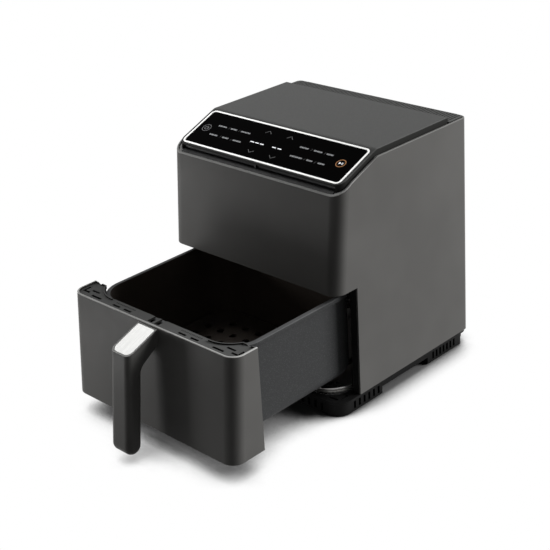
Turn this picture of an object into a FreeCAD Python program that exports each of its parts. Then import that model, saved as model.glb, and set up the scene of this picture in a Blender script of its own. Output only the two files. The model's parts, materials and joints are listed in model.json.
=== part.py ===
import FreeCAD, Part
import math
import os

os.makedirs("parts", exist_ok=True)
V = FreeCAD.Vector

# Housing: x to the right, y to the back, z up from the counter, millimetres.
# The front face crosses y = 0 at the height of the split above the drawer.
BODY_WIDTH = 290.0
HALF = BODY_WIDTH / 2
SHELL_LOW = 22.0
SHELL_TOP = 328.3
UPPER_HEIGHT = 156.8
SPLIT_Z = SHELL_TOP - UPPER_HEIGHT
FRONT_EDGE_DROP = 31.5
FRONT_EDGE_Z = SHELL_TOP - FRONT_EDGE_DROP
REAR_Y = 265.2
FRONT_LEAN = 0.094
REAR_LEAN = 0.025
KNEE_Y = 36.0
PANEL_SLOPE = 0.395
PANEL_LENGTH = 67.0
PANEL_FRONT_Y = 21.84
PANEL_RUN = PANEL_LENGTH / math.hypot(1.0, PANEL_SLOPE)
BEND_LAP = 1.155
BEND_Y = PANEL_FRONT_Y + PANEL_RUN - BEND_LAP
SPLIT_Y = 38.5
FRONT_CORNER_R = 17.0
REAR_CORNER_R = 9.0
SHELL_WALL = 2.5
EDGE_R = 1.0
BEND_R = 12.0
REAR_RETURN = 16.0
FLANGE_LAP = 6.0
COVER_SCREW_LOW = 45.0
COVER_SCREW_DROP = 65.0
COVER_SCREW_EDGE = 1.5
COVER_SCREW_LENGTH = 9.0
LOUVRE_DROP = 29.3
LOUVRE_SPAN = 38.0
LOUVRE_HIGH_Z = SHELL_TOP - LOUVRE_DROP
LOUVRE_SIDE = 55.0
LOUVRE_PITCH = 4.2
LOUVRE_SLOT = 2.4
LOUVRE_MARGIN = 2.0
LEDGE_DROP = 2.0
LEDGE_THICK = 2.5
LEDGE_WIDTH = 8.0
FIT_GAP = 0.3

# Top cover, touch panel and the dark band under its front lip.
COVER_RISE = 6.8
COVER_SLOPE_RISE = 5.0
COVER_SIDE_INSET = 5.5
COVER_FRONT_Y = 7.0
COVER_WALL = 4.0
COVER_REAR_GAP = 37.7
COVER_REAR_Y = REAR_Y - COVER_REAR_GAP
COVER_CORNER_R = 6.0
LID_DEPTH = 30.0
POST_R = 4.0
COVER_EDGE_R = 1.5
LIP_HEIGHT = 2.2
PANEL_SIDE = 10.0
PANEL_HALF_WIDTH = HALF - PANEL_SIDE
PANEL_CENTRE_Y = PANEL_FRONT_Y + PANEL_RUN / 2
PANEL_CORNER_R = 7.0
TRIM_WIDTH = 2.4
TRIM_PROUD = 0.5
GLASS_THICK = 2.0
GLASS_LEDGE = 4.0
GLASS_FIT = 0.05
GUIDE_THICK = 6.0
CIRCUIT_THICK = 1.6
BOARD_SIDE = 14.0
WINDOW_SIDE = 18.0
BOARD_SCREW_LENGTH = 5.0
BAND_SETBACK = 4.0
BAND_FLOOR = 1.2
BAND_THICK = 3.0
BAND_SIDE = 14.0
BAND_HALF_WIDTH = HALF - BAND_SIDE
BAND_RIB_WIDTH = 3.0
BAND_RIB_DEPTH = 2.5
GRILLE_THICK = 3.0
GRILLE_PITCH = 4.4
GRILLE_SLOT = 1.6
GRILLE_MARGIN = 2.0

# Base, deck, feet.
BASE_FRONT_Y = 0.5
BASE_REAR_REACH = 2.3
BASE_REAR_Y = REAR_Y + BASE_REAR_REACH
BASE_FLANGE_INSET = 0.4
BASE_FLANGE_HALF = HALF - BASE_FLANGE_INSET
BASE_FLANGE_THICK = 3.5
BASE_BODY_INSET = 3.1
BASE_BODY_HALF = BASE_FLANGE_HALF - BASE_BODY_INSET
BASE_DEPTH = 11.0
BASE_FLOOR_Z = SHELL_LOW - BASE_DEPTH
BASE_WALL = 2.5
BASE_CORNER_R = 22.0
BASE_FRONT_INSET = 1.0
BASE_BODY_CORNER_R = 20.0
BASE_REAR_R = 12.0
BASE_UPSTAND = 10.0
UPSTAND_START = 7.5
UPSTAND_REAR_GAP = 12.0
FOOT_LENGTH = 84.0
REAR_FOOT_LENGTH = 74.0
FRONT_FOOT_WIDTH = 90.0
REAR_FOOT_WIDTH = 46.0
FOOT_REAR_INSET = 12.0
FOOT_REAR_Y = BASE_REAR_Y - FOOT_REAR_INSET
FOOT_BOTTOM_Z = 1.0
FOOT_SLOT_WIDTH = 4.0
FOOT_SLOT_LOW = 4.2
FOOT_SLOT_TOP = 15.0
FRONT_FOOT_SLOT_START = 29.5
FRONT_FOOT_SLOTS = 6
FRONT_FOOT_PITCH = 9.4
REAR_FOOT_SLOT_START = 12.0
REAR_FOOT_SLOTS = 7
REAR_FOOT_PITCH = 7.7
FOOT_FACE_SLOTS = 4
FOOT_FACE_PITCH = 11.0
FOOT_FACE_SIDE = 30.0
FOOT_SLOT_DEPTH = 3.5
PAD_R = 9.0
PAD_THICK = 2.0
PAD_SIDE = 23.5
PAD_MARGIN = 20.0
DECK_THICK = 2.2
DECK_BOSS_R = 5.0
DECK_SLOT_LENGTH = 13.0
DECK_SLOT_WIDTH = 3.2
# Deck slots: distance in from the base's side and from its front, then the turn in degrees.
FRONT_DECK_SLOT = (17.0, 9.5, 6.0)
SIDE_DECK_SLOT = (8.5, 19.5, 86.0)
BASE_SCREW_SIDE = 12.0
BASE_SCREW_MARGIN = 20.0
BASE_SCREW_LENGTH = 7.5

# Cooking chamber, its lower heater and its mouth frame.
LINER_SIDE_GAP = 15.0
LINER_HALF = HALF - LINER_SIDE_GAP
SHEET = 1.0
FRAME_DEPTH = 5.5
LINER_FRONT_Y = SPLIT_Y + FRAME_DEPTH
LINER_REAR_GAP = 19.2
LINER_REAR_Y = REAR_Y - LINER_REAR_GAP
ROOF_RISE = 18.5
LINER_ROOF_Z = SPLIT_Z + ROOF_RISE
ROOF_TOP = LINER_ROOF_Z + SHEET
MOUTH_DROP = 3.5
LINTEL_DROP = 9.0
LINTEL_RISE = 4.0
LIP_WIDTH = 2.4
LIP_BACK = 3.0
SHELF_THICK = 2.5
DECK_TOP = SHELL_LOW
DISH_SIDE_GAP = 8.0
DISH_HALF = LINER_HALF - DISH_SIDE_GAP
DISH_FRONT_GAP = 13.5
DISH_FRONT_Y = BASE_FRONT_Y + DISH_FRONT_GAP
DISH_REAR_GAP = 8.0
DISH_REAR_Y = LINER_REAR_Y - DISH_REAR_GAP
DISH_DEPTH = 6.0
DISH_CORNER_R = 36.0
DISH_RIM = 4.0
DISH_BEAD = 1.2
DISH_FLANGE = 5.0
DISH_FLANGE_FRONT = 6.0
DISH_FLANGE_R = 30.0
LOWER_TUBE_R = 3.4
LOWER_TUBE_RISE = 4.5
LOWER_TUBE_Z = DECK_TOP + LOWER_TUBE_RISE
LOOP_SIDE_GAP = 38.0
LOWER_LOOP_HALF = DISH_HALF - LOOP_SIDE_GAP
LOOP_FRONT_GAP = 44.0
LOWER_LOOP_FRONT_Y = DISH_FRONT_Y + LOOP_FRONT_GAP
LOOP_REAR_GAP = 33.0
LOWER_LOOP_REAR_Y = DISH_REAR_Y - LOOP_REAR_GAP
LOWER_LOOP_R = 30.0
LOWER_LEAD_X = 22.0
LEAD_REACH = 8.0
LOWER_LEAD_END_Y = LINER_REAR_Y + LEAD_REACH
HEATER_HOLE_GAP = 0.6
CLIP_WIDTH = 8.0

# Fan, upper heater and motor stack above the chamber.
FAN_Y = (LINER_FRONT_Y + LINER_REAR_Y) / 2
DOME_ROOM = 10.0
DOME_R = FAN_Y - LINER_FRONT_Y - DOME_ROOM
DOME_FLANGE = 8.0
DOME_HEIGHT = 41.0
DOME_TOP = ROOF_TOP + DOME_HEIGHT
UPPER_TUBE_R = 3.2
UPPER_TUBE_RISE = 11.0
UPPER_TUBE_Z = ROOF_TOP + UPPER_TUBE_RISE
UPPER_WALL_GAP = 11.0
UPPER_OUTER_R = DOME_R - UPPER_WALL_GAP
UPPER_TURN_PITCH = 24.0
UPPER_INNER_R = UPPER_OUTER_R - UPPER_TURN_PITCH
HALF_TURN_DEG = 180.0
UPPER_GAP_DEG = 14.0
UPPER_BEND_R = 8.0
UPPER_FOLD_DEG = 40.0
UPPER_LEAD_RISE = 10.0
GUARD_THICK = 2.0
GUARD_INNER_R = 30.0
GUARD_RIM_LAP = 2.0
GUARD_RINGS = 4
GUARD_RING_WIDTH = 3.0
GUARD_RIM_WIDTH = 6.0
GUARD_SPOKES = 8
GUARD_SPOKE_WIDTH = 3.0
SHAFT_R = 4.0
SHAFT_RISE = 15.0
SHAFT_LOW_Z = ROOF_TOP + SHAFT_RISE
SHAFT_PROUD = 6.0
SHAFT_HOLE_R = 7.0
RUNNING_GAP = 0.06
PRESS_GAP = 0.02
FAN_WALL_GAP = 19.0
FAN_R = DOME_R - FAN_WALL_GAP
FAN_RISE = 30.0
FAN_PLATE_Z = ROOF_TOP + FAN_RISE
FAN_PLATE_THICK = 1.5
FAN_BLADE_DEPTH = 11.0
FAN_BLADES = 12
FAN_HUB_R = 9.0
HUB_PROUD = 2.0
BLADE_START_R = 21.0
BLADE_TIP_GAP = 2.0
BLADE_THICK = 1.6
BLADE_RAKE_DEG = 25.0
NUT_R = 7.0
NUT_HEIGHT = 5.0
COOLER_R = 52.0
COOLER_RISE = 7.0
COOLER_PLATE_Z = DOME_TOP + COOLER_RISE
COOLER_BLADES = 9
BRACKET_RISE = 24.0
BRACKET_Z = DOME_TOP + BRACKET_RISE
BRACKET_THICK = 2.0
MOTOR_SEAT = BRACKET_Z + BRACKET_THICK
BRACKET_SIDE_OVER = 5.0
BRACKET_HALF_X = DOME_R + BRACKET_SIDE_OVER
BRACKET_END_INSET = 5.0
BRACKET_HALF_Y = DOME_R - BRACKET_END_INSET
BRACKET_LEG = 10.0
BRACKET_HOLE_R = 12.0
MOTOR_R = 36.0
MOTOR_HEIGHT = 36.0
MOTOR_FLANGE_HALF = 42.0
MOTOR_FLANGE_THICK = 3.0
MOTOR_SCREW_X = 36.0
MOTOR_SCREW_LENGTH = 8.0

# Electrical pieces and the pieces fixed to the back.
EXHAUST_HALF = 33.0
EXHAUST_DROP = 6.5
EXHAUST_HEIGHT = 17.0
EXHAUST_HIGH_Z = LINER_ROOF_Z - EXHAUST_DROP
EXHAUST_LOW_Z = EXHAUST_HIGH_Z - EXHAUST_HEIGHT
DUCT_WALL = 1.5
PROBE_SIDE = 10.0
PROBE_X = PROBE_SIDE - LINER_HALF
PROBE_START = 18.0
PROBE_Y = LINER_FRONT_Y + PROBE_START
PROBE_R = 2.0
PROBE_DEPTH = 14.0
PROBE_TIP_Z = LINER_ROOF_Z - PROBE_DEPTH
PROBE_TOP_RISE = 12.0
PROBE_COLLAR_R = 5.0
PROBE_COLLAR_HEIGHT = 5.0
FUSE_INSET = 19.0
FUSE_RADIUS = DOME_R - FUSE_INSET
FUSE_DEG = 30.0
FUSE_SIZE = (24.0, 8.0, 5.0)
POWER_BOARD_BACK = 153.2
POWER_BOARD_Y = REAR_Y - POWER_BOARD_BACK
POWER_BOARD_LENGTH = 110.0
POWER_BOARD_RISE = 12.0
POWER_BOARD_Z = ROOF_TOP + POWER_BOARD_RISE
POWER_BOARD_HEIGHT = 80.0
STANDOFF = 4.5
STANDOFF_R = 3.5
STANDOFF_INSET = 8.0
# Blocks on the power board: start along it, height above its low edge, length, height, depth.
RELAY_BLOCK = (12.0, 22.0, 30.0, 22.0, 16.0)
TRANSFORMER_BLOCK = (50.0, 18.0, 24.0, 28.0, 22.0)
CAPACITOR_BLOCK = (84.0, 16.0, 18.0, 18.0, 14.0)
PLUG_BLOCK = (36.0, 54.0, 40.0, 12.0, 9.0)
TERMINAL_SIDE = 12.0
TERMINAL_X = TERMINAL_SIDE - LINER_HALF
TERMINAL_RISE = 40.0
TERMINAL_Z = SHELL_LOW + TERMINAL_RISE
TERMINAL_SIZE = (40.0, 10.0, 14.0)
TERMINAL_WAYS = 3
TERMINAL_WELL_R = 2.5
TERMINAL_WELL_DEPTH = 5.0
REED_X = 60.0
REED_SIZE = (18.0, 7.0, 5.0)
MAGNET_Y = 7.5
MAGNET_R = 4.0
MAGNET_HEIGHT = 5.0
BUZZER_X = 40.0
BUZZER_R = 6.0
BUZZER_HEIGHT = 5.0
GLAND_SIDE = 45.0
GLAND_X = GLAND_SIDE - HALF
GLAND_RISE = 24.0
GLAND_Z = SHELL_LOW + GLAND_RISE
GLAND_R = 8.0
GLAND_FLANGE_R = 11.0
GLAND_FLANGE = 3.0
GLAND_BORE_R = 3.75
GLAND_INNER_REACH = 4.0
SCREW_R = 1.75
SCREW_HEAD_R = 3.6
SCREW_HEAD = 2.2
SCREW_GAP = 0.1
SCREW_TIP_ROOM = 1.5
SMALL_SCREW_R = 1.25
SMALL_HEAD_R = 2.6

# Drawer, measured closed; it is drawn out by DRAWER_OPEN in the rest pose.
DRAWER_OPEN = 173.2
DRAWER_TOP_GAP = 6.0
DRAWER_TOP_Z = SPLIT_Z - DRAWER_TOP_GAP
DRAWER_LOW_GAP = 5.7
DRAWER_LOW_Z = SHELL_LOW + DRAWER_LOW_GAP
DRAWER_SIDE_GAP = 0.8
DRAWER_WALL = 2.2
DRAWER_FLOOR_RISE = 1.5
CAP_DROP = 2.3
CAP_TOP_Z = DRAWER_TOP_Z - CAP_DROP
CAP_THICK = 2.6
BASKET_SIDE_GAP = 6.6
BASKET_HALF = LINER_HALF - BASKET_SIDE_GAP
BASKET_FRONT_Y = 22.5
BASKET_REAR_GAP = 8.0
BASKET_REAR_Y = LINER_REAR_Y - BASKET_REAR_GAP
BASKET_RISE = 12.3
BASKET_LOW_Z = DRAWER_LOW_Z + BASKET_RISE
RIM_DROP = 3.7
BASKET_RIM_Z = CAP_TOP_Z - RIM_DROP
BASKET_WALL = 1.5
BASKET_CORNER_R = 36.0
BASKET_BOTTOM_R = 16.0
RIM_WIDTH = 4.4
RIM_HEIGHT = 5.0
RIM_EDGE_R = 1.6
RAIL_GAP = 0.4
RAIL_HEIGHT = 4.0
RAIL_SIDE_GAP = 1.2
RAIL_END_GAP = 6.0
CAP_SLOT_XS = (49.0, 70.0)
CAP_SLOT_Y = 9.6
CAP_SLOT_LENGTH = 13.0
CAP_SLOT_WIDTH = 3.2
CORNER_SLOT_SIDE = 36.0
CORNER_SLOT_Y = 10.0
CORNER_SLOT_LENGTH = 18.0
SIDE_SLOT_SIDE = 24.0
SIDE_SLOT_Y = 19.5
SIDE_SLOT_LENGTH = 14.0
ELBOW_SLOT_SIDE = 12.0
ELBOW_SLOT_Y = 13.5
ELBOW_SLOT_LENGTH = 12.0
NOTCH_X = 6.0
NOTCH_Y = 7.0
NOTCH_WIDTH = 8.0
COMB_START_X = 42.0
COMB_Y = 15.8
COMB_SLOT_WIDTH = 1.1
COMB_SLOT_LENGTH = 2.4
COMB_PITCH = 2.6
COMB_TEETH = 14
STRIP_END_GAP = 1.4
STRIP_HALF = BASKET_HALF - BASKET_CORNER_R - STRIP_END_GAP
STRIP_BACK = 2.0
CAP_LIP = 1.6
CAP_LIP_RISE = 2.0
DIP_SIDE = 11.5
DIP_R = 4.5
PLATE_RISE = 15.0
PLATE_Z = BASKET_LOW_Z + PLATE_RISE
PLATE_THICK = 2.0
PLATE_MARGIN = 3.0
PLATE_LEG_R = 5.0
PLATE_REST_GAP = 0.2
PLATE_HOLE_R = 5.0
PLATE_HOLE_PITCH = 24.0
PLATE_HOLE_MARGIN = 14.0
TAB_LENGTH = 18.0
TAB_HEIGHT = 6.0
TAB_REACH = 2.2
TAB_INNER = 5.0

# Handle: side profile sizes in the closed frame, the arm first and then the grip.
HANDLE_HALF = 17.0
ARM_DROP = 2.5
ARM_TOP_Z = DRAWER_TOP_Z - ARM_DROP
ARM_DEPTH = 25.5
ARM_LOW_Z = ARM_TOP_Z - ARM_DEPTH
GRIP_DROP = 18.0
GRIP_TOP_Z = ARM_TOP_Z - GRIP_DROP
GRIP_FRONT_Y = -48.0
GRIP_LEAN = 0.132
GRIP_THICK = 23.0
GRIP_LOW_Z = 15.0
ARM_INNER_DROP = 42.0
ARM_INNER_Z = ARM_TOP_Z - ARM_INNER_DROP
ARM_INNER_R = 13.0
HANDLE_EDGE_R = 8.0
INLAY_MARGIN = 2.4
INLAY_THICK = 1.2
INLAY_CORNER_R = 8.0
INLAY_END_GAP = 2.0
INLAY_FIT = 0.05
HANDLE_SCREW_X = 9.0
HANDLE_SCREW_DROP = 14.0
HANDLE_SCREW_Z = ARM_TOP_Z - HANDLE_SCREW_DROP
HANDLE_SCREW_LENGTH = 16.0
BASKET_SCREW_X = 40.0
BASKET_SCREW_DROP = 39.5
BASKET_SCREW_Z = BASKET_RIM_Z - BASKET_SCREW_DROP
BASKET_SCREW_LENGTH = 11.0
BOSS_R = 5.0
BOSS_LENGTH = 7.0

UP = V(0, 0, 1)
BACK = V(0, 1, 0)
FORWARD = V(0, -1, 0)

# How far a cutting shape runs past what it cuts, at its sides and elsewhere.
SIDE_OVER = 1.0
OVER = 20.0
FAR = 400.0


def box(x0, x1, y0, y1, z0, z1):
    return Part.makeBox(x1 - x0, y1 - y0, z1 - z0, V(x0, y0, z0))


def rod(x, y, z, radius, length, axis=V(0, 0, 1)):
    return Part.makeCylinder(radius, length, V(x, y, z), axis)


def joined(shapes):
    return shapes[0].multiFuse(shapes[1:]).removeSplitter()


def profile_prism(points, half):
    """A side profile of (y, z) points drawn out equally to the left and the right."""
    corners = [V(-half, y, z) for y, z in points]
    face = Part.Face(Part.makePolygon(corners + corners[:1]))
    return face.extrude(V(2 * half, 0, 0))


def rounded_plate(half, y0, y1, z0, z1, front_r, rear_r):
    """A plate of plan half width and y range with rounded front and rear corners."""
    plate = box(-half, half, y0, y1, z0, z1)
    for y, radius in ((y0, front_r), (y1, rear_r)):
        edges = [e for e in plate.Edges if upright_at(e, y)]
        plate = plate.makeFillet(radius, edges)
    return plate


def upright_at(edge, y):
    ends = [v.Point for v in edge.Vertexes]
    if len(ends) < 2:
        return False
    level = abs(ends[0].z - ends[1].z) > 0.1
    return level and all(abs(p.y - y) < 1e-4 for p in ends) and abs(ends[0].x - ends[1].x) < 1e-4


def edges_at(shape, z):
    return [e for e in shape.Edges if abs(e.BoundBox.ZMin - z) < 1e-4 and abs(e.BoundBox.ZMax - z) < 1e-4]


def is_front(edge, y):
    return edge.BoundBox.Center.y < y - 0.01


def front_y(z):
    return FRONT_LEAN * (z - SPLIT_Z)


def rear_y(z):
    return REAR_Y - REAR_LEAN * (z - SPLIT_Z)


def slope_z(y):
    return SHELL_TOP - PANEL_SLOPE * (BEND_Y - y)


def front_edge(front, slope_rise, kneed):
    """Where the front face, set in, meets the line that the top follows at the front."""
    knee_z = slope_z(KNEE_Y) + slope_rise
    run = PANEL_SLOPE
    if kneed:
        run = (slope_z(KNEE_Y) - FRONT_EDGE_Z) / (KNEE_Y - front_y(FRONT_EDGE_Z))
    level = knee_z - run * KNEE_Y
    y = (front_y(level) + front) / (1 - FRONT_LEAN * run)
    return y, level + run * y


def housing(side, front, rear, rise, slope_rise, low, kneed=True):
    """The housing's outline with its sides, front and back set in and its top raised."""
    top = SHELL_TOP + rise
    knee = [(KNEE_Y, slope_z(KNEE_Y) + slope_rise)] if kneed else []
    points = [(front_y(low) + front, low), front_edge(front, slope_rise, kneed)] + knee
    points += [(BEND_Y + (rise - slope_rise) / PANEL_SLOPE, top),
               (rear_y(top) - rear, top),
               (rear_y(low) - rear, low)]
    body = profile_prism(points, HALF - side)
    body = body.makeFillet(BEND_R, [e for e in body.Edges if crosses_at(e, points[2:-2])])
    body = round_uprights(body, points[0], points[1], FRONT_CORNER_R - side)
    return round_uprights(body, points[-1], points[-2], REAR_CORNER_R - side)


def crosses_at(edge, places):
    """True for an edge that runs across the body at one of the (y, z) places."""
    centre = edge.BoundBox.Center
    across = edge.BoundBox.XLength > BODY_WIDTH / 2
    return across and any(math.hypot(centre.y - y, centre.z - z) < 0.01 for y, z in places)


def round_rim(body, low, radius):
    """Rounds the outer edges above a height that run round a body's top."""
    edges = []
    for edge in body.Edges:
        high = edge.BoundBox.ZMin > low
        across = edge.BoundBox.XLength > BODY_WIDTH / 2
        front_line = across and edge.BoundBox.Center.y < KNEE_Y - EDGE_R
        if high and (front_line or not across):
            edges.append(edge)
    return body.makeFillet(radius, edges)


def round_uprights(body, low_end, high_end, radius):
    if radius <= 0.5:
        return body
    middle = [(low_end[i] + high_end[i]) / 2 for i in (0, 1)]
    edges = []
    for edge in body.Edges:
        centre = edge.BoundBox.Center
        flat = edge.BoundBox.XLength < 1e-4
        if flat and math.hypot(centre.y - middle[0], centre.z - middle[1]) < 0.01:
            edges.append(edge)
    return body.makeFillet(radius, edges)


def screw(x, y, z, axis, shank, radius=SCREW_R, head_r=SCREW_HEAD_R, head=SCREW_HEAD):
    """A pan head screw: its head starts at the point and its shank runs on along the axis."""
    top = rod(x, y, z, head_r, head, axis)
    start = V(x, y, z) + axis * head
    return top.fuse(Part.makeCylinder(radius, shank, start, axis)).removeSplitter()


def screw_hole(x, y, z, axis, length, radius=SCREW_R):
    start = V(x, y, z) - axis * length
    return Part.makeCylinder(radius + SCREW_GAP, 2 * length, start, axis)


COVER_SCREW_X = HALF - REAR_RETURN + SCREW_HEAD_R + COVER_SCREW_EDGE
COVER_SCREW_HEIGHTS = (SHELL_LOW + COVER_SCREW_LOW, SHELL_TOP - COVER_SCREW_DROP)


def cover_screw_places():
    return [(side * COVER_SCREW_X, z) for side in (-1, 1) for z in COVER_SCREW_HEIGHTS]


def cover_screw_holes():
    return [screw_hole(x, rear_y(z), z, BACK, OVER) for x, z in cover_screw_places()]


def outer_shell():
    """The grey wrap: sides, upper front and rear returns, with a ledge inside its top edge."""
    wall = SHELL_WALL
    wrap = round_rim(housing(0, 0, 0, 0, 0, SHELL_LOW), SHELL_LOW + SIDE_OVER, EDGE_R)
    wrap = wrap.cut(box(-FAR, FAR, -FAR, SPLIT_Y, -FAR, SPLIT_Z))
    wrap = wrap.makeFillet(EDGE_R, [e for e in edges_at(wrap, SPLIT_Z) if is_front(e, SPLIT_Y)])
    wrap = wrap.cut(housing(wall, wall, wall, OVER, OVER, SHELL_LOW - OVER))
    window = HALF - REAR_RETURN
    back = box(-window, window, REAR_Y - OVER, FAR, -FAR, FAR)
    wrap = wrap.cut(back)
    low = FRONT_EDGE_Z - LID_DEPTH
    ledge = housing(wall, wall, wall, -LEDGE_DROP, -LEDGE_DROP, low)
    drop = LEDGE_DROP + LEDGE_THICK
    ledge = ledge.cut(housing(-SIDE_OVER, -SIDE_OVER, -SIDE_OVER, -drop, -drop, low - OVER))
    inset = wall + LEDGE_WIDTH
    ledge = ledge.cut(housing(inset, inset, -OVER, OVER, OVER, low - OVER))
    return joined([wrap, ledge]).cut(Part.makeCompound(cover_screw_holes()))


def rear_cover():
    """The back plate, with a flange behind the shell's returns, exhaust slots and cord hole."""
    wall = SHELL_WALL
    window = HALF - REAR_RETURN - FIT_GAP
    plate = housing(0, 0, 0, 0, 0, SHELL_LOW).cut(housing(-SIDE_OVER, 0, wall, OVER, OVER, -OVER))
    plate = plate.common(box(-window, window, REAR_Y - OVER, FAR, SHELL_LOW, SHELL_TOP))
    inner = HALF - SHELL_WALL - 2 * FIT_GAP
    flange_low = SHELL_LOW + BASE_UPSTAND
    flange_top = SHELL_TOP - LEDGE_DROP - LEDGE_THICK - FIT_GAP
    flange = housing(HALF - inner, 0, wall, 0, 0, SHELL_LOW)
    flange = flange.cut(housing(-SIDE_OVER, 0, wall + BASE_WALL, OVER, OVER, -OVER))
    flange = flange.common(box(-inner, inner, REAR_Y - OVER, FAR, flange_low, flange_top))
    border = HALF - REAR_RETURN - FLANGE_LAP
    flange = flange.cut(box(-border, border, REAR_Y - OVER, FAR, -FAR, FAR))
    cuts = cover_screw_holes() + [gland_hole()]
    cuts += louvres(EXHAUST_LOW_Z, EXHAUST_HIGH_Z, EXHAUST_HALF)
    cuts += louvres(LOUVRE_HIGH_Z - LOUVRE_SPAN, LOUVRE_HIGH_Z, HALF - LOUVRE_SIDE)
    return joined([plate, flange]).cut(Part.makeCompound(cuts))


def louvres(low, high, half):
    """Slots across the back plate, evenly spaced between two heights."""
    count = int((high - low) // LOUVRE_PITCH)
    slots = []
    for i in range(count):
        z = low + (high - low) * (i + 0.5) / count
        slots.append(box(LOUVRE_MARGIN - half, half - LOUVRE_MARGIN, REAR_Y - OVER, FAR,
                         z - LOUVRE_SLOT / 2, z + LOUVRE_SLOT / 2))
    return slots


def gland_hole():
    return rod(GLAND_X, REAR_Y - OVER, GLAND_Z, GLAND_R + SCREW_GAP, FAR, BACK)


def cord_gland():
    """A bushed cord outlet through the back plate, with a bore for the mains cord."""
    face = rear_y(GLAND_Z - GLAND_FLANGE_R)
    inside = rear_y(GLAND_Z) - SHELL_WALL - BASE_WALL - GLAND_INNER_REACH
    body = rod(GLAND_X, inside, GLAND_Z, GLAND_R, face - inside, BACK)
    flange = rod(GLAND_X, face, GLAND_Z, GLAND_FLANGE_R, GLAND_FLANGE, BACK)
    bore = rod(GLAND_X, inside - OVER, GLAND_Z, GLAND_BORE_R, FAR, BACK)
    return joined([body, flange]).cut(bore)


def cover_screws():
    seat = SCREW_HEAD_R * REAR_LEAN
    return Part.makeCompound([screw(x, rear_y(z) + seat + SCREW_HEAD, z, FORWARD, COVER_SCREW_LENGTH)
                              for x, z in cover_screw_places()])


PANEL_ANGLE = math.degrees(math.atan(PANEL_SLOPE))


def panel_frame(shape):
    """Places a shape drawn flat about the origin onto the middle of the sloping panel."""
    centre_z = slope_z(PANEL_CENTRE_Y) + COVER_SLOPE_RISE
    turn = FreeCAD.Rotation(V(1, 0, 0), PANEL_ANGLE)
    shape.Placement = FreeCAD.Placement(V(0, PANEL_CENTRE_Y, centre_z), turn)
    return shape


def panel_plate(margin, low, high, side_margin=None):
    radius = max(PANEL_CORNER_R - margin, 1.0)
    half_length = PANEL_LENGTH / 2 - margin
    half = PANEL_HALF_WIDTH - (margin if side_margin is None else side_margin)
    return panel_frame(rounded_plate(half, -half_length, half_length, low, high, radius, radius))


WINDOW_MARGIN = TRIM_WIDTH + GLASS_LEDGE
BOARD_TOP = -GLASS_THICK - GUIDE_THICK


def board_screw_places():
    x = PANEL_HALF_WIDTH - WINDOW_SIDE + BOARD_SIDE / 2
    y = PANEL_LENGTH / 4
    return [(sx * x, sy * y) for sx in (-1, 1) for sy in (-1, 1)]


def board_screw_holes():
    deep = BOARD_SCREW_LENGTH - CIRCUIT_THICK + SCREW_TIP_ROOM - FIT_GAP
    start = BOARD_TOP - OVER
    return [panel_frame(rod(x, y, start, SMALL_SCREW_R + SCREW_GAP, OVER + deep))
            for x, y in board_screw_places()]


def top_cover():
    """The raised lid with its sloping front, the seat for the glass and screw posts."""
    low = FRONT_EDGE_Z - LID_DEPTH
    lid = housing(COVER_SIDE_INSET, COVER_FRONT_Y, 0, COVER_RISE, COVER_SLOPE_RISE, low, False)
    lid = round_rim(lid, low + SIDE_OVER, COVER_EDGE_R)
    lid = lid.cut(housing(-SIDE_OVER, -OVER, -OVER, -LEDGE_DROP, -LEDGE_DROP, low - OVER))
    rounded = rounded_plate(HALF, -OVER, COVER_REAR_Y, 0, FAR, EDGE_R, COVER_CORNER_R)
    lid = lid.common(rounded)
    inset = COVER_SIDE_INSET + COVER_WALL
    front = COVER_FRONT_Y + COVER_WALL
    hollow = housing(inset, front, 0, COVER_RISE - COVER_WALL, COVER_SLOPE_RISE - COVER_WALL, low, False)
    rear = COVER_REAR_Y - COVER_WALL
    hollow = hollow.common(rounded_plate(HALF, -OVER, rear, 0, FAR, EDGE_R, COVER_CORNER_R - COVER_WALL))
    lid = lid.cut(hollow).cut(lip_recess())
    lid = lid.cut(panel_plate(0, -GLASS_THICK, OVER))
    lid = lid.cut(panel_plate(WINDOW_MARGIN, -OVER, OVER, WINDOW_SIDE))
    posts = []
    for x, y in board_screw_places():
        post = rod(x, y, BOARD_TOP, POST_R, -BOARD_TOP - GLASS_THICK)
        posts.append(panel_frame(post))
    return joined([lid] + posts).cut(Part.makeCompound(board_screw_holes()))


def lip_z(y):
    return slope_z(y) + COVER_SLOPE_RISE - LIP_HEIGHT


def band_front(z):
    return front_y(z) + COVER_FRONT_Y + BAND_SETBACK


def lip_recess():
    """The space under the lid's front lip, which the dark band fills from behind."""
    back = band_front(FRONT_EDGE_Z) + BAND_THICK
    low = FRONT_EDGE_Z - LID_DEPTH
    points = [(-OVER, low), (-OVER, lip_z(-OVER)), (back, lip_z(back)), (back, low)]
    return profile_prism(points, BAND_HALF_WIDTH)


def front_band():
    """The gloss black band under the lip, standing on the shell's ledge, with a middle rib."""
    face = band_front(FRONT_EDGE_Z)
    back = face + BAND_THICK
    low = FRONT_EDGE_Z - LID_DEPTH
    bar = profile_prism([(face, low), (face, lip_z(face)), (back, lip_z(back)), (back, low)],
                        BAND_HALF_WIDTH - FIT_GAP)
    nose = face - BAND_RIB_DEPTH
    rib = profile_prism([(nose, low), (nose, lip_z(nose)), (face, lip_z(face)), (face, low)],
                        BAND_RIB_WIDTH / 2)
    rise = BAND_FLOOR - LEDGE_DROP
    inset = SHELL_WALL + FIT_GAP
    floor = housing(inset, inset, 0, rise, rise, low)
    floor = floor.common(box(-BAND_HALF_WIDTH + FIT_GAP, BAND_HALF_WIDTH - FIT_GAP, -FAR, back, low, FAR))
    seat = housing(-SIDE_OVER, -OVER, -OVER, -LEDGE_DROP, -LEDGE_DROP, low - OVER)
    return joined([bar, rib, floor]).cut(seat)


def panel_trim():
    ring = panel_plate(0, -GLASS_THICK, TRIM_PROUD)
    return ring.cut(panel_plate(TRIM_WIDTH, -OVER, OVER))


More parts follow.
